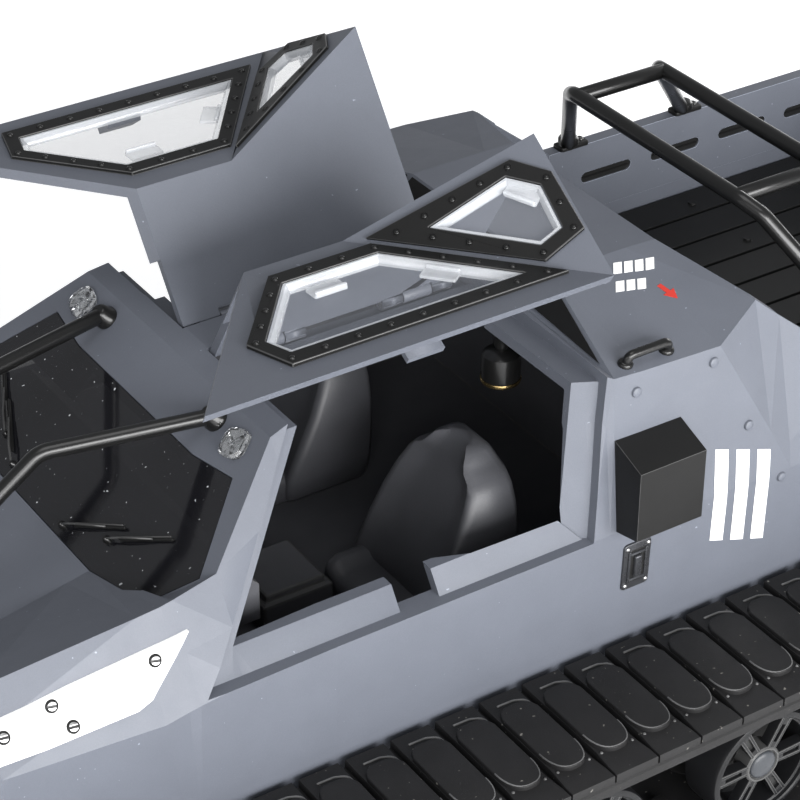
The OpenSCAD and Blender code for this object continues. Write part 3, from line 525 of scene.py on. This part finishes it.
def slab_outline():
    half = [(2.4, SLAB_START), (4.2, SLAB_START + 1.2), (SLAB_HALF, SLAB_START + 3.4)]
    reach = SLAB_END - SLAB_SHOULDER
    for k in range(SHOULDER_STEPS):
        a = math.pi / 2 * k / SHOULDER_STEPS
        half.append((SLAB_HALF * math.cos(a) ** 0.8, SLAB_SHOULDER + reach * math.sin(a) ** 0.9))
    return half + [(0, SLAB_END)] + [(-x, y) for x, y in reversed(half)]


BASE_OUTLINE = [(-5.35, 0.4), (5.35, 0.4), (5.35, 30), (6.02, 36), (6.02, 39.1), (-6.02, 39.1),
                (-6.02, 36), (-5.35, 30)]


CHAMFER, TURN_STEPS = 0.5, 14
BELT_SECTION = [  # height over the guides, distance from the inner edge
    (GAP, CHAMFER), (GAP, TRACK_W - CHAMFER), (GAP + CHAMFER, TRACK_W),
    (GAP + CARCASS - CHAMFER, TRACK_W), (GAP + CARCASS, TRACK_W - CHAMFER),
    (GAP + CARCASS, CHAMFER), (GAP + CARCASS - CHAMFER, 0), (GAP + CHAMFER, 0)
]
STUDS = ((-4.4, 31.2), (4.4, 31.0))
RIB_ROUTE = [(-5.0, 9.2, PLATE), (-4.6, 5.6, PLATE), (-1.8, 4.3, PLATE), (2.6, 4.2, PLATE)]


def track(side):
    belt = Piece([rubber, rubber_edge_highlight])
    rings = []
    for i in range(4):
        for k in range(TURN_STEPS + 1):
            ring = []
            for t, y in BELT_SECTION:
                p, _ = arc_point(i, t, k / TURN_STEPS)
                ring.append((p[0], TRACK_IN + y, p[1]))
            rings.append(ring)
    belt.add(rings_to_mesh(rings, loop=True))
    base = prism(BASE_OUTLINE, -0.9, PLATE, 0.3, 2)
    outline = slab_outline()
    slab = prism(outline, PLATE - 0.2, PLATE + SLAB, 0.4, 3)
    # A thin lip of lighter rubber round the slab's shoulder paints the highlight on its rim.
    lip = tube([(x * 0.97, SLAB_SHOULDER + (y - SLAB_SHOULDER) * 0.95, PLATE + SLAB - 0.16)
                for x, y in outline if y > SLAB_SHOULDER - 0.1], 0.2, 0.4, 8, 2)
    rib = tube(RIB_ROUTE, 0.32, 2, 8, 4)
    stud = dome(0.42, 0.4, 8, 2)
    lug = prism(rounded(4, 4, 0.8, 2), 0, 3, 0.8, 2)
    for p, a in loop_places(GAP + CARCASS):
        place = Matrix(((math.sin(a), 0, math.cos(a), p[0]), (0, 1, 0, TRACK_IN),
                        (-math.cos(a), 0, math.sin(a), p[1]), (0, 0, 0, 1)))
        belt.add(base, place)
        belt.add(slab, place)
        belt.add(lip, place, 1)
        belt.add(rib, place, 1)
        for u, v in STUDS:
            belt.add(stud, place @ Matrix.Translation((u, v, PLATE - 0.05)), 1)
        inward = Matrix.Translation((0, TRACK_W / 2, -CARCASS + 0.2)) @ Matrix.Rotation(math.pi, 4, "X")
        belt.add(lug, place @ inward)
    belt.done(f"track_belt_{side}", "hull", SIDES[side], [f"track_{side}"])


for side in SIDES:
    track(side)

# ---- wheels, drawn with their outer face up
WHEEL_IN, WHEEL_W, BORE_R = 80, 28.4, 2.1
TOOTH = ((-14, -3.2), (-9, -1.6), (-6, -0.3), (-3, 0), (3, 0), (6, -0.3), (9, -1.6), (14, -3.2))
TEETH = 10
SHAFT_IN = 50


def on_axle(x, z, side):
    return SIDES[side] @ Matrix.Translation((x, WHEEL_IN, z)) @ Matrix.Rotation(-math.pi / 2, 4, "X")


def spin(angle_deg):
    return Matrix.Rotation(math.radians(angle_deg), 4, "Z")


def hub(piece, r, top):
    collar = [(BORE_R, top - 6), (r + 1.3, top - 6), (r + 1.3, top - 1.3), (r + 0.9, top - 0.9),
              (r + 0.5, top - 0.9), (r + 0.3, top - 1.2), (r + 0.1, top - 1.6), (BORE_R, top - 1.6)]
    piece.add(lathe(collar, 36, loop=True), mat=1)
    piece.add(dome(r, 1.5, 32, 6), Matrix.Translation((0, 0, top - 1.5)), 3)


def wheel(name, r, spokes, x, z, side):
    w = WHEEL_W
    piece = Piece([wheel_black, wheel_edge_highlight, barrel_black_and_shade, hub_grey])
    rim = [(r - 4.3, 19.5), (r - 4.3, 16.6), (r - 0.4, 16.6), (r, 17.0), (r, w - 1.2), (r - 0.35, w - 0.35),
           (r - 1.0, w), (r - 1.7, w), (r - 2.0, w - 0.3), (r - 2.1, w - 1.2), (r - 2.7, w - 1.5),
           (r - 2.9, 19.5)]
    piece.add(lathe(rim, 64, loop=True))
    barrel = [(BORE_R, 0), (r - 5, 0), (r - 0.4, 0.8), (r, 1.6), (r, 7.2), (r - 0.5, 7.6),
              (r - 4.2, 7.6), (r - 4.2, 19.4), (BORE_R, 19.4)]
    piece.add(lathe(barrel, 64, loop=True), mat=2)
    reach = r - 2.4
    for k in range(spokes):
        turn = spin(360 / spokes * k)
        for s in (-1, 1):
            rail = [(4.6, s * 1.05 - 0.45), (reach, s * 1.3 - 0.5),
                    (reach, s * 1.3 + 0.5), (4.6, s * 1.05 + 0.45)]
            piece.add(prism(rail, w - 4.2, w - 1.2, 0.25, 2), turn, 0, rim=1)
        piece.add(prism([(4.6, -0.9), (reach, -1.1), (reach, 1.1), (4.6, 0.9)], w - 4, w - 2.2), turn, 2)
        for low, high in ((4.6, 6.6), (reach - 2.2, reach)):
            piece.add(prism([(low, -1), (high, -1), (high, 1), (low, 1)], w - 3.8, w - 1.3, 0.2, 2), turn)
    hub(piece, 3.9 if r > 14 else 3.3, w - 0.1)
    piece.done(f"{name}_look", f"{name}_body", on_axle(x, z, side), [name])


def sprocket(side):
    w = WHEEL_W
    name = f"sprocket_{side}"
    outline = []
    for k in range(TEETH):
        for a, d in TOOTH:
            q = math.radians(360 / TEETH * k + a)
            outline.append(((SPROCKET_R + d) * math.cos(q), (SPROCKET_R + d) * math.sin(q)))
    piece = Piece([wheel_black, wheel_edge_highlight, barrel_black_and_shade, hub_grey])
    piece.add(prism(outline, 1, 7.5, 0.3, 2), mat=0)
    piece.add(prism(outline, 16.5, w - 1, 0.3, 2), mat=0, rim=1)
    core = [(0.01, 0), (7.6, 0), (8, 0.4), (8, w - 1.2), (7.4, w - 0.5), (0.01, w - 0.5)]
    piece.add(lathe(core, 40), mat=2)
    for k in range(5):
        piece.add(dome(1.1, 0.6, 12, 3), spin(72 * k + 18) @ Matrix.Translation((6.0, 0, w - 0.6)), 1)
    piece.add(dome(3.4, 0.5, 32, 4), Matrix.Translation((0, 0, w - 0.5)), 3)
    shaft_in = SHAFT_IN - WHEEL_IN
    shaft = [(0.01, shaft_in), (2.7, shaft_in), (3, shaft_in + 0.3), (3, 0.5), (0.01, 0.5)]
    piece.add(lathe(shaft, 28), mat=1)
    place = on_axle(SPROCKET_X, SPROCKET_Z, side)
    piece.done(f"{name}_look", f"{name}_body", place, [name])


for side in SIDES:
    for i in WHEEL_X:
        wheel(f"road_wheel_{side}_{i}", WHEEL_R, 6, WHEEL_X[i], WHEEL_Z, side)
    wheel(f"idler_{side}", IDLER_R, 5, IDLER_X, IDLER_Z, side)
    sprocket(side)

# ---- seats
SEAT_Y = 33
BACK_LEVELS = [  # height, half width, rear and front of the side
    (4.2, 16, 12, 36.6), (6, 17.4, 11.5, 37.6), (12, 18.2, 10.6, 37.2), (20, 18.1, 10.2, 33.2),
    (28, 17.4, 9.8, 29), (34, 16, 9.8, 26), (38.6, 14.2, 10, 23.6), (40.6, 12.6, 10.2, 22.8),
    (42, 9.9, 10.6, 22.2), (43.6, 8.5, 11.3, 21.4), (45.4, 7.3, 12.2, 20.2), (46.4, 5.4, 13.4, 18.8)
]
CUSHION_SECTIONS = [  # distance forward, height of the top, half width
    (21, 8.6, 14), (22, 10, 15.4), (26, 10.4, 16), (38, 11, 16), (44, 11.4, 15.6), (47, 10.4, 15),
    (48, 8.4, 14)
]
CUSHION_FOOT = 4.2


def seat(side):
    piece = Piece([seat_skin, cabin_edge])
    rings = []
    for z, w, rear, front in BACK_LEVELS:
        half = [(rear, 0.0), (rear, 0.72 * w), (rear + 1.0, 0.93 * w), (rear + 2.6, w), (front - 2.2, w),
                (front - 0.7, 0.965 * w), (front, 0.9 * w), (front - 0.2, 0.83 * w), (front - 1.5, 0.68 * w),
                (front - 2.1, 0.4 * w), (front - 2.2, 0.0)]
        rings.append([(x, y, z) for x, y in half] + [(x, -y, z) for x, y in half[-2:0:-1]])
    piece.add(rings_to_mesh(rings), Matrix.Translation((0, SEAT_Y, 0)))
    rings = []
    for x, top, w in CUSHION_SECTIONS:
        half = [(0.0, CUSHION_FOOT), (w - 1, CUSHION_FOOT), (w, 5.6), (w, top - 0.4), (w - 0.7, top + 1.2),
                (w - 2, top + 1.6), (w - 3.6, top + 1), (w - 5.4, top - 0.5), (w - 8, top - 1),
                (0.0, top - 1)]
        rings.append([(x, y, z) for y, z in half] + [(x, -y, z) for y, z in half[-2:0:-1]])
    piece.add(rings_to_mesh(rings), Matrix.Translation((0, SEAT_Y, 0)))
    piece.done(f"seat_look_{side}", "hull", SIDES[side], [f"seat_{side}"], sharp=50)


for side in SIDES:
    seat(side)

# ---- doors
ROOF_Y, ROOF_Z, SIDE_Y, FOOT_Z = 42.8, 75.4, 71.5, 33.4
LEAN = (SIDE_Y - ROOF_Y) / (ROOF_Z - FOOT_Z)
CORNER_C = Vector((44.5, ROOF_Y, ROOF_Z))
CORNER_D = Vector((0, 66.2, ROOF_Z))
CORNER_E = Vector((5.4, SIDE_Y, FOOT_Z))
SIDE_N = Vector((0, 1, LEAN)).normalized()
REAR_N = (CORNER_D - CORNER_E).cross(CORNER_C - CORNER_E).normalized()
WINDOWS = {
    "side": (SIDE_N, CORNER_E,
             [(21.2, 42.8), (41.9, 66.3), (67.1, 66.3), (83.9, 48.7), (81.9, 42.8)],
             [(12.9, 38.8), (40.7, 70), (68, 70), (88, 49.6), (84.4, 38.8)]),
    "rear": (REAR_N, CORNER_E,
             [(7.6, 49.8), (5.6, 62.2), (10.2, 68.6), (29, 66.9), (13.2, 48.6)],
             [(4.2, 47), (2.2, 63.9), (7.3, 72), (40.4, 72.6), (14.4, 44.6)]),
}
RIVET_STEP, FRAME_T = 8.2, 1.0
RIVET_SEAT = [(1.02, 0), (0.98, 0.12), (0.8, 0.12), (0.74, 0.02), (0.66, 0.02)]


def on_plane(point, normal, origin):
    """Where a point given in side view, as x and z, lies on a plane."""
    x, z = point
    d = normal.dot(origin) - normal[0] * x - normal[2] * z
    return Vector((x, d / normal[1], z))


def flat(kind):
    """The window's own frame and its opening's and frame's outlines in it, anticlockwise from outside."""
    normal, origin, opening, outer = WINDOWS[kind]
    inner = [on_plane(p, normal, origin) for p in opening]
    around = [on_plane(p, normal, origin) for p in outer]
    place = frame_of(inner[0], normal, (1, 0, 0))
    back_in = place.inverted()
    flats = [[tuple((back_in @ p)[:2]) for p in ring] for ring in (inner, around)]
    area = sum(a[0] * b[1] - b[0] * a[1] for a, b in zip(flats[0], flats[0][1:] + flats[0][:1]))
    if area < 0:
        flats = [ring[::-1] for ring in flats]
    return place, flats[0], flats[1]


def ledge(outline):
    """A clear rim that steps from the window frame down to the pane."""
    steps = ((0.25, 0.7), (0.9, 0.75), (1.15, 0.45), (1.9, -0.9), (1.9, -1.5), (0.25, -1.5))
    rings = [[(x, y, h) for x, y in inset(outline, t)] for t, h in steps]
    return rings_to_mesh(rings, loop=True)


TABS = {  # where a clear tab sits in side view, and which way it runs
    "side": [((59.2, 61.4), (1, 0)), ((35.3, 53.6), (-20.7, -23.5))],
    "rear": [((9.2, 63.4), (1, 1.4))],
}


def door_fittings(side):
    place = swung(side)
    panes = Piece([pane_clear, clear_edge_highlight])
    rivets = Piece([gloss, black])
    for kind in WINDOWS:
        normal, origin, _, _ = WINDOWS[kind]
        here, opening, outer = flat(kind)
        panes.add(prism(inset(opening, 1.7), -1.5, -0.9, 0.1, 1), here, 0)
        # The ledge and the tabs take the pale edge colour, a painted highlight.
        panes.add(ledge(opening), here, 1)
        for middle, along in TABS[kind]:
            way = Vector((along[0], -along[1] * LEAN if kind == "side" else 0, along[1]))
            tab = frame_of(on_plane(middle, normal, origin), normal, way)
            panes.add(prism(rounded(8.6, 4.6, 0.5, 3), -0.9, -0.2, 0.25, 2), tab, 1)
            panes.add(prism(rounded(8.2, 1.0, 0.4, 3), -0.4, 0.6, 0.25, 2),
                      tab @ Matrix.Translation((0, 1.9, 0)), 1)
        ring = [(Vector(a) + Vector(b)) / 2 for a, b in zip(opening, outer)]
        for k, a in enumerate(ring):
            b = ring[(k + 1) % len(ring)]
            count = max(1, round((b - a).length / RIVET_STEP))
            for i in range(count):
                p = a + (b - a) * i / count
                spot = here @ Matrix.Translation((p[0], p[1], FRAME_T - 0.02))
                rivets.add(lathe(RIVET_SEAT, 16), spot, 1)
                rivets.add(dome(0.7, 0.48, 14, 4), spot, 0)
    panes.done(f"door_{side}_glazing", f"door_{side}", place, [f"door_{side}_panes"])
    rivets.done(f"door_{side}_studs", f"door_{side}", place, [f"door_{side}_rivets"])


for side in SIDES:
    door_fittings(side)

# ---- windscreen wipers, roof lamps and guard
GLASS_TILT = math.radians(40)
GLASS_N = Vector((math.sin(GLASS_TILT), 0, math.cos(GLASS_TILT)))


GLASS_X, GLASS_Z = 81.4, 69.8


def on_glass(x, y, h=0.0):
    """The point of the windscreen's plane at x and y, raised by h."""
    return Vector((x, y, GLASS_Z - (x - GLASS_X) * math.tan(GLASS_TILT))) + GLASS_N * h


# Each wiper's foot and tip, as x and y on the windscreen.
WIPERS = [((113, 10), (103.5, 31)), ((109, 25), (99.5, 44)),
          ((112, -17.5), (104.5, -34)), ((109, -26.5), (101.5, -42))]
WIPER_FOOT = [(1.0, -0.2), (1.0, 0.9), (0.8, 1.3), (0.5, 1.9), (0.01, 2.0)]
wipers = Piece([gloss, gloss_edge_highlight])
for foot, tip in WIPERS:
    a, b = on_glass(*foot), on_glass(*tip)
    d = (b - a).normalized()
    wipers.add(lathe(WIPER_FOOT, 16), frame_of(a, GLASS_N, d))
    arm = [a + GLASS_N * 1.5, a + d * 6 + GLASS_N * 1.9, a + d * 14 + GLASS_N * 1.1]
    # The arm and the blade's narrow top strip take the grey edge colour: painted highlight lines.
    wipers.add(tube(arm, 0.3, 3, 8, 3), mat=1)
    mid = frame_of(a + d * 12 + GLASS_N * 0.3, GLASS_N, d)
    wipers.add(prism(rounded(16, 0.7, 0.3, 2), 0, 0.7, 0.15, 2), mid, 0)
    wipers.add(prism(rounded(15, 0.35, 0.15, 2), 0.6, 1.05, 0.1, 1), mid @ Matrix.Translation((0, 0.5, 0)), 1)
wipers.done("wiper_arms", "hull", LIFT, ["wipers"])

LAMP = (81.4, 36.9)
chrome = surface("lamp_reflector", grey(0.75), (0.08, 0.18), 0.5, 0.1, 0.08, metallic=1.0)
gems = Piece([lens, chrome, black])
for s in (-1, 1):
    here = frame_of(on_glass(LAMP[0], s * LAMP[1], 0.05), GLASS_N, (1, s * 0.25, 0))
    wide = [(x, y * 1.12) for x, y in rounded(7.4, 6.8, 2.1, 2)]
    rings = [[(x, y, 0.3) for x, y in wide], [(x, y, 1.0) for x, y in wide]]
    rings.append([(x * 0.84, y * 0.84, 1.7) for x, y in wide])
    star = [(x * (0.55 if k % 2 else 0.42), y * (0.42 if k % 2 else 0.55), 1.35 if k % 2 else 2.1)
            for k, (x, y) in enumerate(wide)]
    rings.append(star)
    rings.append([(x * 0.2, y * 0.2, 1.7 if k % 2 else 1.2) for k, (x, y) in enumerate(wide)])
    gems.add(rings_to_mesh(rings), here, 0)
    facets = [[(x * f, y * f, h + (0.16 if k % 2 else 0)) for k, (x, y) in enumerate(wide)]
              for f, h in ((0.98, 0.02), (0.7, 0.02), (0.45, 0.12), (0.05, 0.05))]
    gems.add(rings_to_mesh(facets), here, 1)
gems.done("lamp_gems", "hull", LIFT, ["roof_lamps"], sharp=12)

GUARD_R = 1.9
guard = Piece([gloss, gloss_edge_highlight])
for s in (-1, 1):
    route = [(79.8, s * 26.6, 71.0), (82.8, s * 26.3, 71.9), (121, s * 17.6, 71.3),
             (131, s * 17.2, 63.8), (172, s * 17, 31.4)]
    guard.add(tube(route, GUARD_R, 7, 28, 12))
    guard.add(lathe([(3.0, -0.5), (3.0, 0.8), (2.6, 1.3), (2.2, 3.4), (1.7, 3.9)], 28),
              frame_of(on_glass(80.6, s * 26.5), GLASS_N, (1, 0, 0)))
    foot = frame_of((172, s * 17, 29.8), (8 / 30, 0, 1), (1, 0, 0))
    guard.add(lathe([(3.6, -0.4), (3.6, 0.7), (3.2, 1.1), (2.6, 1.2), (2.3, 3.6), (1.6, 4.1)], 28), foot)
guard.done("guard_tubes", "hull", LIFT, ["brush_guard"], sharp=40)

# ---- roll cage
CAGE_R = 2.1
HOOP_Y, WALL_TOP = 66.3, 53
HOOPS = [[(-88, 66.4, 52.6), (-68, 40, 85.2), (-65.2, 34.5, 88)],
         [(-129.5, 66.4, 52.6), (-98, 40, 85), (-94, 34.5, 88)]]
cage = Piece([gloss, gloss_edge_highlight, black])
for hoop in HOOPS:
    route = hoop + [(x, -y, z) for x, y, z in reversed(hoop)]
    cage.add(tube(route, CAGE_R, 6, 28, 10))
    x0 = hoop[0][0]
    for s in (-1, 1):
        cage.add(prism(rounded(10, 4.6, 1.0, 3), WALL_TOP - 1, WALL_TOP + 0.1, 0.3, 2),
                 Matrix.Translation((x0 - 1, s * HOOP_Y, 0)), 2)
        cage.add(lathe([(3, 0), (3, 1.6), (2.6, 2.2), (2.1, 2.4)], 24),
                 Matrix.Translation((x0, s * HOOP_Y, WALL_TOP)))
        for u in (-4.6, 2.6):
            cage.add(dome(0.7, 0.5, 12, 3), Matrix.Translation((x0 + u, s * HOOP_Y, WALL_TOP + 0.05)), 1)
for s in (-1, 1):
    cage.add(tube([(-65.2, s * 33, 88), (-94, s * 33, 88)], CAGE_R, 1, 28))
cage.done("cage_tubes", "hull", LIFT, ["roll_cage"], sharp=40)

# ---- painted shade: dark sheets in the slots of the bed's walls
SLOT_X, SLOT_STEP, SLOT_Y, SLOT_Z = -101, 25.4, 65.5, 41
slot_shade = Piece([barrel_black_and_shade, black])
for s in (1, -1):
    for k in range(4):
        put = (Matrix.Translation((SLOT_X - k * SLOT_STEP, s * SLOT_Y, SLOT_Z)) @
               Matrix.Rotation(math.pi / 2, 4, "X"))
        slot_shade.add(prism(rounded(18.1, 3.5, 1.7, 5), -0.4, 0.4, 0.1, 1), put)
        slot_shade.add(prism(rounded(16.4, 0.5, 0.2, 2), 0.3, 0.7, 0.1, 1), put, 1)
        slot_shade.add(prism(rounded(16.4, 0.5, 0.2, 2), -0.7, -0.3, 0.1, 1), put, 1)
slot_shade.done("slot_painted_shade", "hull", LIFT)

# ---- fittings on the body's sides
bpy.context.view_layer.update()


def on_body(x, z, node="body_shell"):
    """The point and outward normal of a node's left side at x and z, in millimetres."""
    start = LIFT @ Vector((x, 130, z))
    hit, at, normal, _ = nodes[node].ray_cast(start, Vector((0, -1, 0)))
    if not hit:
        raise RuntimeError(f"nothing of {node} at {x}, {z}")
    return LIFT.inverted() @ at, normal


def on_roof(x, y):
    """The point and normal of the body's top at x and y."""
    start = LIFT @ Vector((x, y, 130))
    _, at, normal, _ = nodes["body_shell"].ray_cast(start, Vector((0, 0, -1)))
    return LIFT.inverted() @ at, normal


bolts = Piece([paint, paint_edge_highlight])
for s in (1, -1):
    for x, z in ((-8.2, 69.2), (-30.9, 69.8), (-42.5, 48.5), (-54, 29.5)):
        at, normal = on_body(x, z)
        here = frame_of(at - normal * 0.15, normal, (1, 0, 0))
        bolts.add(lathe([(1.35, 0), (1.35, 0.45), (1.2, 0.75), (0.8, 0.95), (0.01, 1.0)], 24),
                  Matrix.Scale(s, 4, (0, 1, 0)) @ here)
bolts.done("body_bolts", "hull", LIFT, ["side_bolts"])

latches = Piece([dark_steel, steel, barrel_black_and_shade])
for s in (1, -1):
    at, normal = on_body(-8.6, 21.4)
    here = Matrix.Scale(s, 4, (0, 1, 0)) @ frame_of(at, normal, (1, 0, 0))
    latches.add(prism(rounded(8.2, 13.8, 1.1, 4), -0.3, 0.55, 0.25, 3), here)
    # A black patch in the plate's middle paints the shade of its recess.
    latches.add(prism(rounded(4.8, 9.8, 0.5, 3), 0.3, 0.62, 0.1, 1), here, 2)
    for x in (-2.5, 2.5):
        latches.add(prism(rounded(0.7, 9.6, 0.25, 2), 0.4, 1.0, 0.2, 2), here @ Matrix.Translation((x, 0, 0)))
    latches.add(prism(rounded(2.2, 6.4, 0.6, 4), 0.5, 1.5, 0.5, 4), here)
    for y in (-3.9, 3.9):
        latches.add(tube([(-2.2, y, 0.75), (2.2, y, 0.75)], 0.38, 1, 10), here)
    for x in (-3.1, 3.1):
        for y in (-5.6, 5.6):
            latches.add(dome(0.62, 0.5, 14, 3), here @ Matrix.Translation((x, y, 0.5)), 1)
latches.done("latch_looks", "hull", LIFT, ["latch_plates"])

handles = Piece([gloss, gloss_edge_highlight])
for s in (1, -1):
    m = Matrix.Scale(s, 4, (0, 1, 0))
    grip = [(-19.7, 64.1, 74.6), (-19.6, 64.9, 77.7), (-7.7, 64.9, 77.7), (-7.6, 64.1, 74.6)]
    handles.add(tube(grip, 1.15, 2.2, 20, 8), m)
    for x in (-19.7, -7.6):
        at, normal = on_roof(x, 64)
        handles.add(lathe([(1.9, -0.2), (1.9, 0.5), (1.6, 0.9), (1.1, 1.2)], 24),
                    m @ frame_of(at, normal, (1, 0, 0)))
handles.done("handle_loops", "hull", LIFT, ["grab_handles"], sharp=40)

screws = Piece([steel, barrel_black_and_shade])
for s in (1, -1):
    for x, z in ((119.8, 44.4), (144.9, 43.2), (141.9, 38.6), (157, 41)):
        at, normal = on_body(x, z, "fender_plates")
        here = Matrix.Scale(s, 4, (0, 1, 0)) @ frame_of(at, normal, (1, 0.3, 0.4))
        # A black ring under the head paints the shade round it and in its slot.
        screws.add(lathe([(1.55, -0.2), (1.55, 0.15), (1.3, 0.3), (1.1, 0.1), (0.9, 0.1)], 20), here, 1)
        for t in (-1, 1):
            angles = [math.radians(a) for a in range(-85, 86, 17)]
            half_disc = [(1.05 * math.sin(a), t * 0.16 + t * 0.9 * abs(math.cos(a))) for a in angles]
            half_disc = half_disc if t < 0 else half_disc[::-1]
            screws.add(prism(half_disc, 0.05, 0.6, 0.15, 2), here)
screws.done("slotted_screws", "hull", LIFT, ["plate_screws"])

spot = Piece([gloss, brass, lens])
here = Matrix.Translation((3.4, 30, 0))
housing = [(0.01, 69.8), (2.2, 69.8), (1.9, 66.8), (1.4, 65.4), (3.4, 65), (4.6, 64), (4.9, 62),
           (4.9, 57.6), (4.6, 57.3), (0.01, 57.3)]
collar = [(4.2, 57.5), (5.05, 57.5), (5.15, 57.0), (5.0, 56.5), (4.4, 56.3), (4.2, 56.6)]
glass = [(0.01, 55.9), (2.2, 56.1), (4.1, 56.8), (4.1, 57.4), (0.01, 57.4)]
spot.add(lathe(housing, 36), here)
spot.add(lathe(collar, 36, loop=True), here, 1)
spot.add(lathe(glass, 36), here, 2)
spot.done("spotlight_look", "hull", LIFT, ["cabin_spotlight"])

# ---- plain markings: bars on the side, dashes and an arrow on the roof
MARK_TOP, MARK_FOOT = 0.1, 0.01


def marking(piece, corners, place_of, cells=(6, 2), mat=0):
    """A thin sheet over four corners, laid on the body by place_of."""
    a, b, c, d = (Vector(p) for p in corners)
    nu, nv = cells

    def at_index(i, j, low):
        return 2 * (i * (nv + 1) + j) + low

    grid = []
    for i in range(nu + 1):
        for j in range(nv + 1):
            u, v = i / nu, j / nv
            p = (a * (1 - u) + b * u) * (1 - v) + (d * (1 - u) + c * u) * v
            at, normal = place_of(*p)
            grid.append(at + normal * MARK_TOP)
            grid.append(at + normal * MARK_FOOT)
    faces = []
    for i in range(nu):
        for j in range(nv):
            quad = [(i, j), (i + 1, j), (i + 1, j + 1), (i, j + 1)]
            faces.append([at_index(*q, 0) for q in quad])
            faces.append([at_index(*q, 1) for q in reversed(quad)])
    edge = ([(i, 0) for i in range(nu)] + [(nu, j) for j in range(nv)] +
            [(i, nv) for i in range(nu, 0, -1)] + [(0, j) for j in range(nv, 0, -1)])
    for k, q in enumerate(edge):
        r = edge[(k + 1) % len(edge)]
        faces.append([at_index(*q, 0), at_index(*q, 1), at_index(*r, 1), at_index(*r, 0)])
    piece.add((grid, faces), Matrix(), mat)


DROP = 0.36
marks = Piece([white, red])
for x0, x1 in ((-32.2, -36.4), (-39.0, -43.2), (-45.8, -50.0)):
    z0, z1 = 18.6 + (x0 + 32) * DROP, 45.4 + (x0 + 32) * DROP
    tilt = (x1 - x0) * DROP
    marking(marks, [(x0, z0), (x0, z1), (x1, z1 + tilt), (x1, z0 + tilt)], on_body)
for row, (x, y) in enumerate(((-26.8, 33.6), (-23.2, 39.4))):
    for k in range(4 - row):
        q = Vector((x, y)) + Vector((-7.7, 1.9)) * (k * 0.36)
        across = Vector((-2.2, 0.5))
        along = Vector((3.2, 4.4)) * (0.75 - 0.05 * row)
        corners = [q, q + along, q + along + across, q + across]
        marking(marks, corners, on_roof, (2, 1))
tail, tip = Vector((-32.4, 44.6)), Vector((-33.7, 50.4))
way = (tip - tail).normalized()
cross = Vector((way[1], -way[0]))
neck = tip - way * 2.9
shaft = cross * 0.7
head = cross * 1.9
point = cross * 0.02
marking(marks, [tail - shaft, neck - shaft, neck + shaft, tail + shaft], on_roof, (2, 1), 1)
marking(marks, [neck - head, tip - point, tip + point, neck + head], on_roof, (2, 2), 1)
marks.done("marking_bars", "hull", LIFT)

# ---- floor, light and camera
FLOOR, FLOOR_GLOW = 4.0, 0.35
SKY, SKY_STRENGTH = (0.95, 0.97, 1.0, 1), 0.36
bpy.ops.mesh.primitive_plane_add(size=FLOOR)
floor = bpy.context.object
floor.name = "floor"
floor_mat = surface("floor", grey(0.93), (0.5, 0.6), 2.0, 0.02, 0.004)
shader = floor_mat.node_tree.nodes["Principled BSDF"]
shader.inputs["Emission Color"].default_value = (1, 1, 1, 1)
shader.inputs["Emission Strength"].default_value = FLOOR_GLOW
floor.data.materials.append(floor_mat)

world = bpy.data.worlds.new("studio")
bpy.context.scene.world = world
world.use_nodes = True
sky = world.node_tree.nodes["Background"]
sky.inputs["Color"].default_value = SKY
sky.inputs["Strength"].default_value = SKY_STRENGTH


def softbox(name, place, aim, width, height, power):
    """A rectangular area light, in metres and watts, that faces aim."""
    data = bpy.data.lights.new(name, "AREA")
    data.shape = "RECTANGLE"
    data.size = width
    data.size_y = height
    data.energy = power
    obj = bpy.data.objects.new(name, data)
    bpy.context.scene.collection.objects.link(obj)
    obj.location = place
    obj.rotation_euler = (Vector(aim) - Vector(place)).to_track_quat("-Z", "Y").to_euler()


softbox("key", (-0.05, 1.1, 0.36), (0, 0, 0.09), 1.1, 0.5, 29)
softbox("fill", (0.75, 1.05, 0.62), (0.02, 0, 0.1), 0.5, 0.5, 6)
softbox("front", (1.1, 0.2, 0.45), (0.05, 0, 0.08), 0.5, 0.4, 2.6)
softbox("top", (0.1, 0.25, 1.25), (0, 0, 0.1), 0.7, 0.7, 4.5)
softbox("rear", (-0.95, -0.35, 0.3), (-0.1, 0, 0.08), 0.5, 0.4, 4)
bpy.context.scene.view_settings.view_transform = "Standard"

LENS, SENSOR = 117.63, 36
CAMERA_AT = (318.84, 464.76, 446.64)
AZIMUTH, ELEVATION, ROLL = 146.65, 33.11, 0.187
camera = bpy.data.cameras.new("camera")
camera.sensor_width = SENSOR
camera.lens = LENS
camera.clip_start = 0.01
cam = bpy.data.objects.new("camera", camera)
bpy.context.scene.collection.objects.link(cam)
azimuth, elevation, roll = (math.radians(v) for v in (AZIMUTH, ELEVATION, ROLL))
back = Vector((math.sin(azimuth) * math.cos(elevation), -math.cos(azimuth) * math.cos(elevation),
               math.sin(elevation)))
right = Vector((0, 0, 1)).cross(back).normalized()
up = back.cross(right)
right, up = right * math.cos(roll) + up * math.sin(roll), up * math.cos(roll) - right * math.sin(roll)
pose = Matrix((right, up, back)).transposed().to_4x4()
pose.translation = Vector(CAMERA_AT) * MM
cam.matrix_world = pose
bpy.context.scene.camera = cam
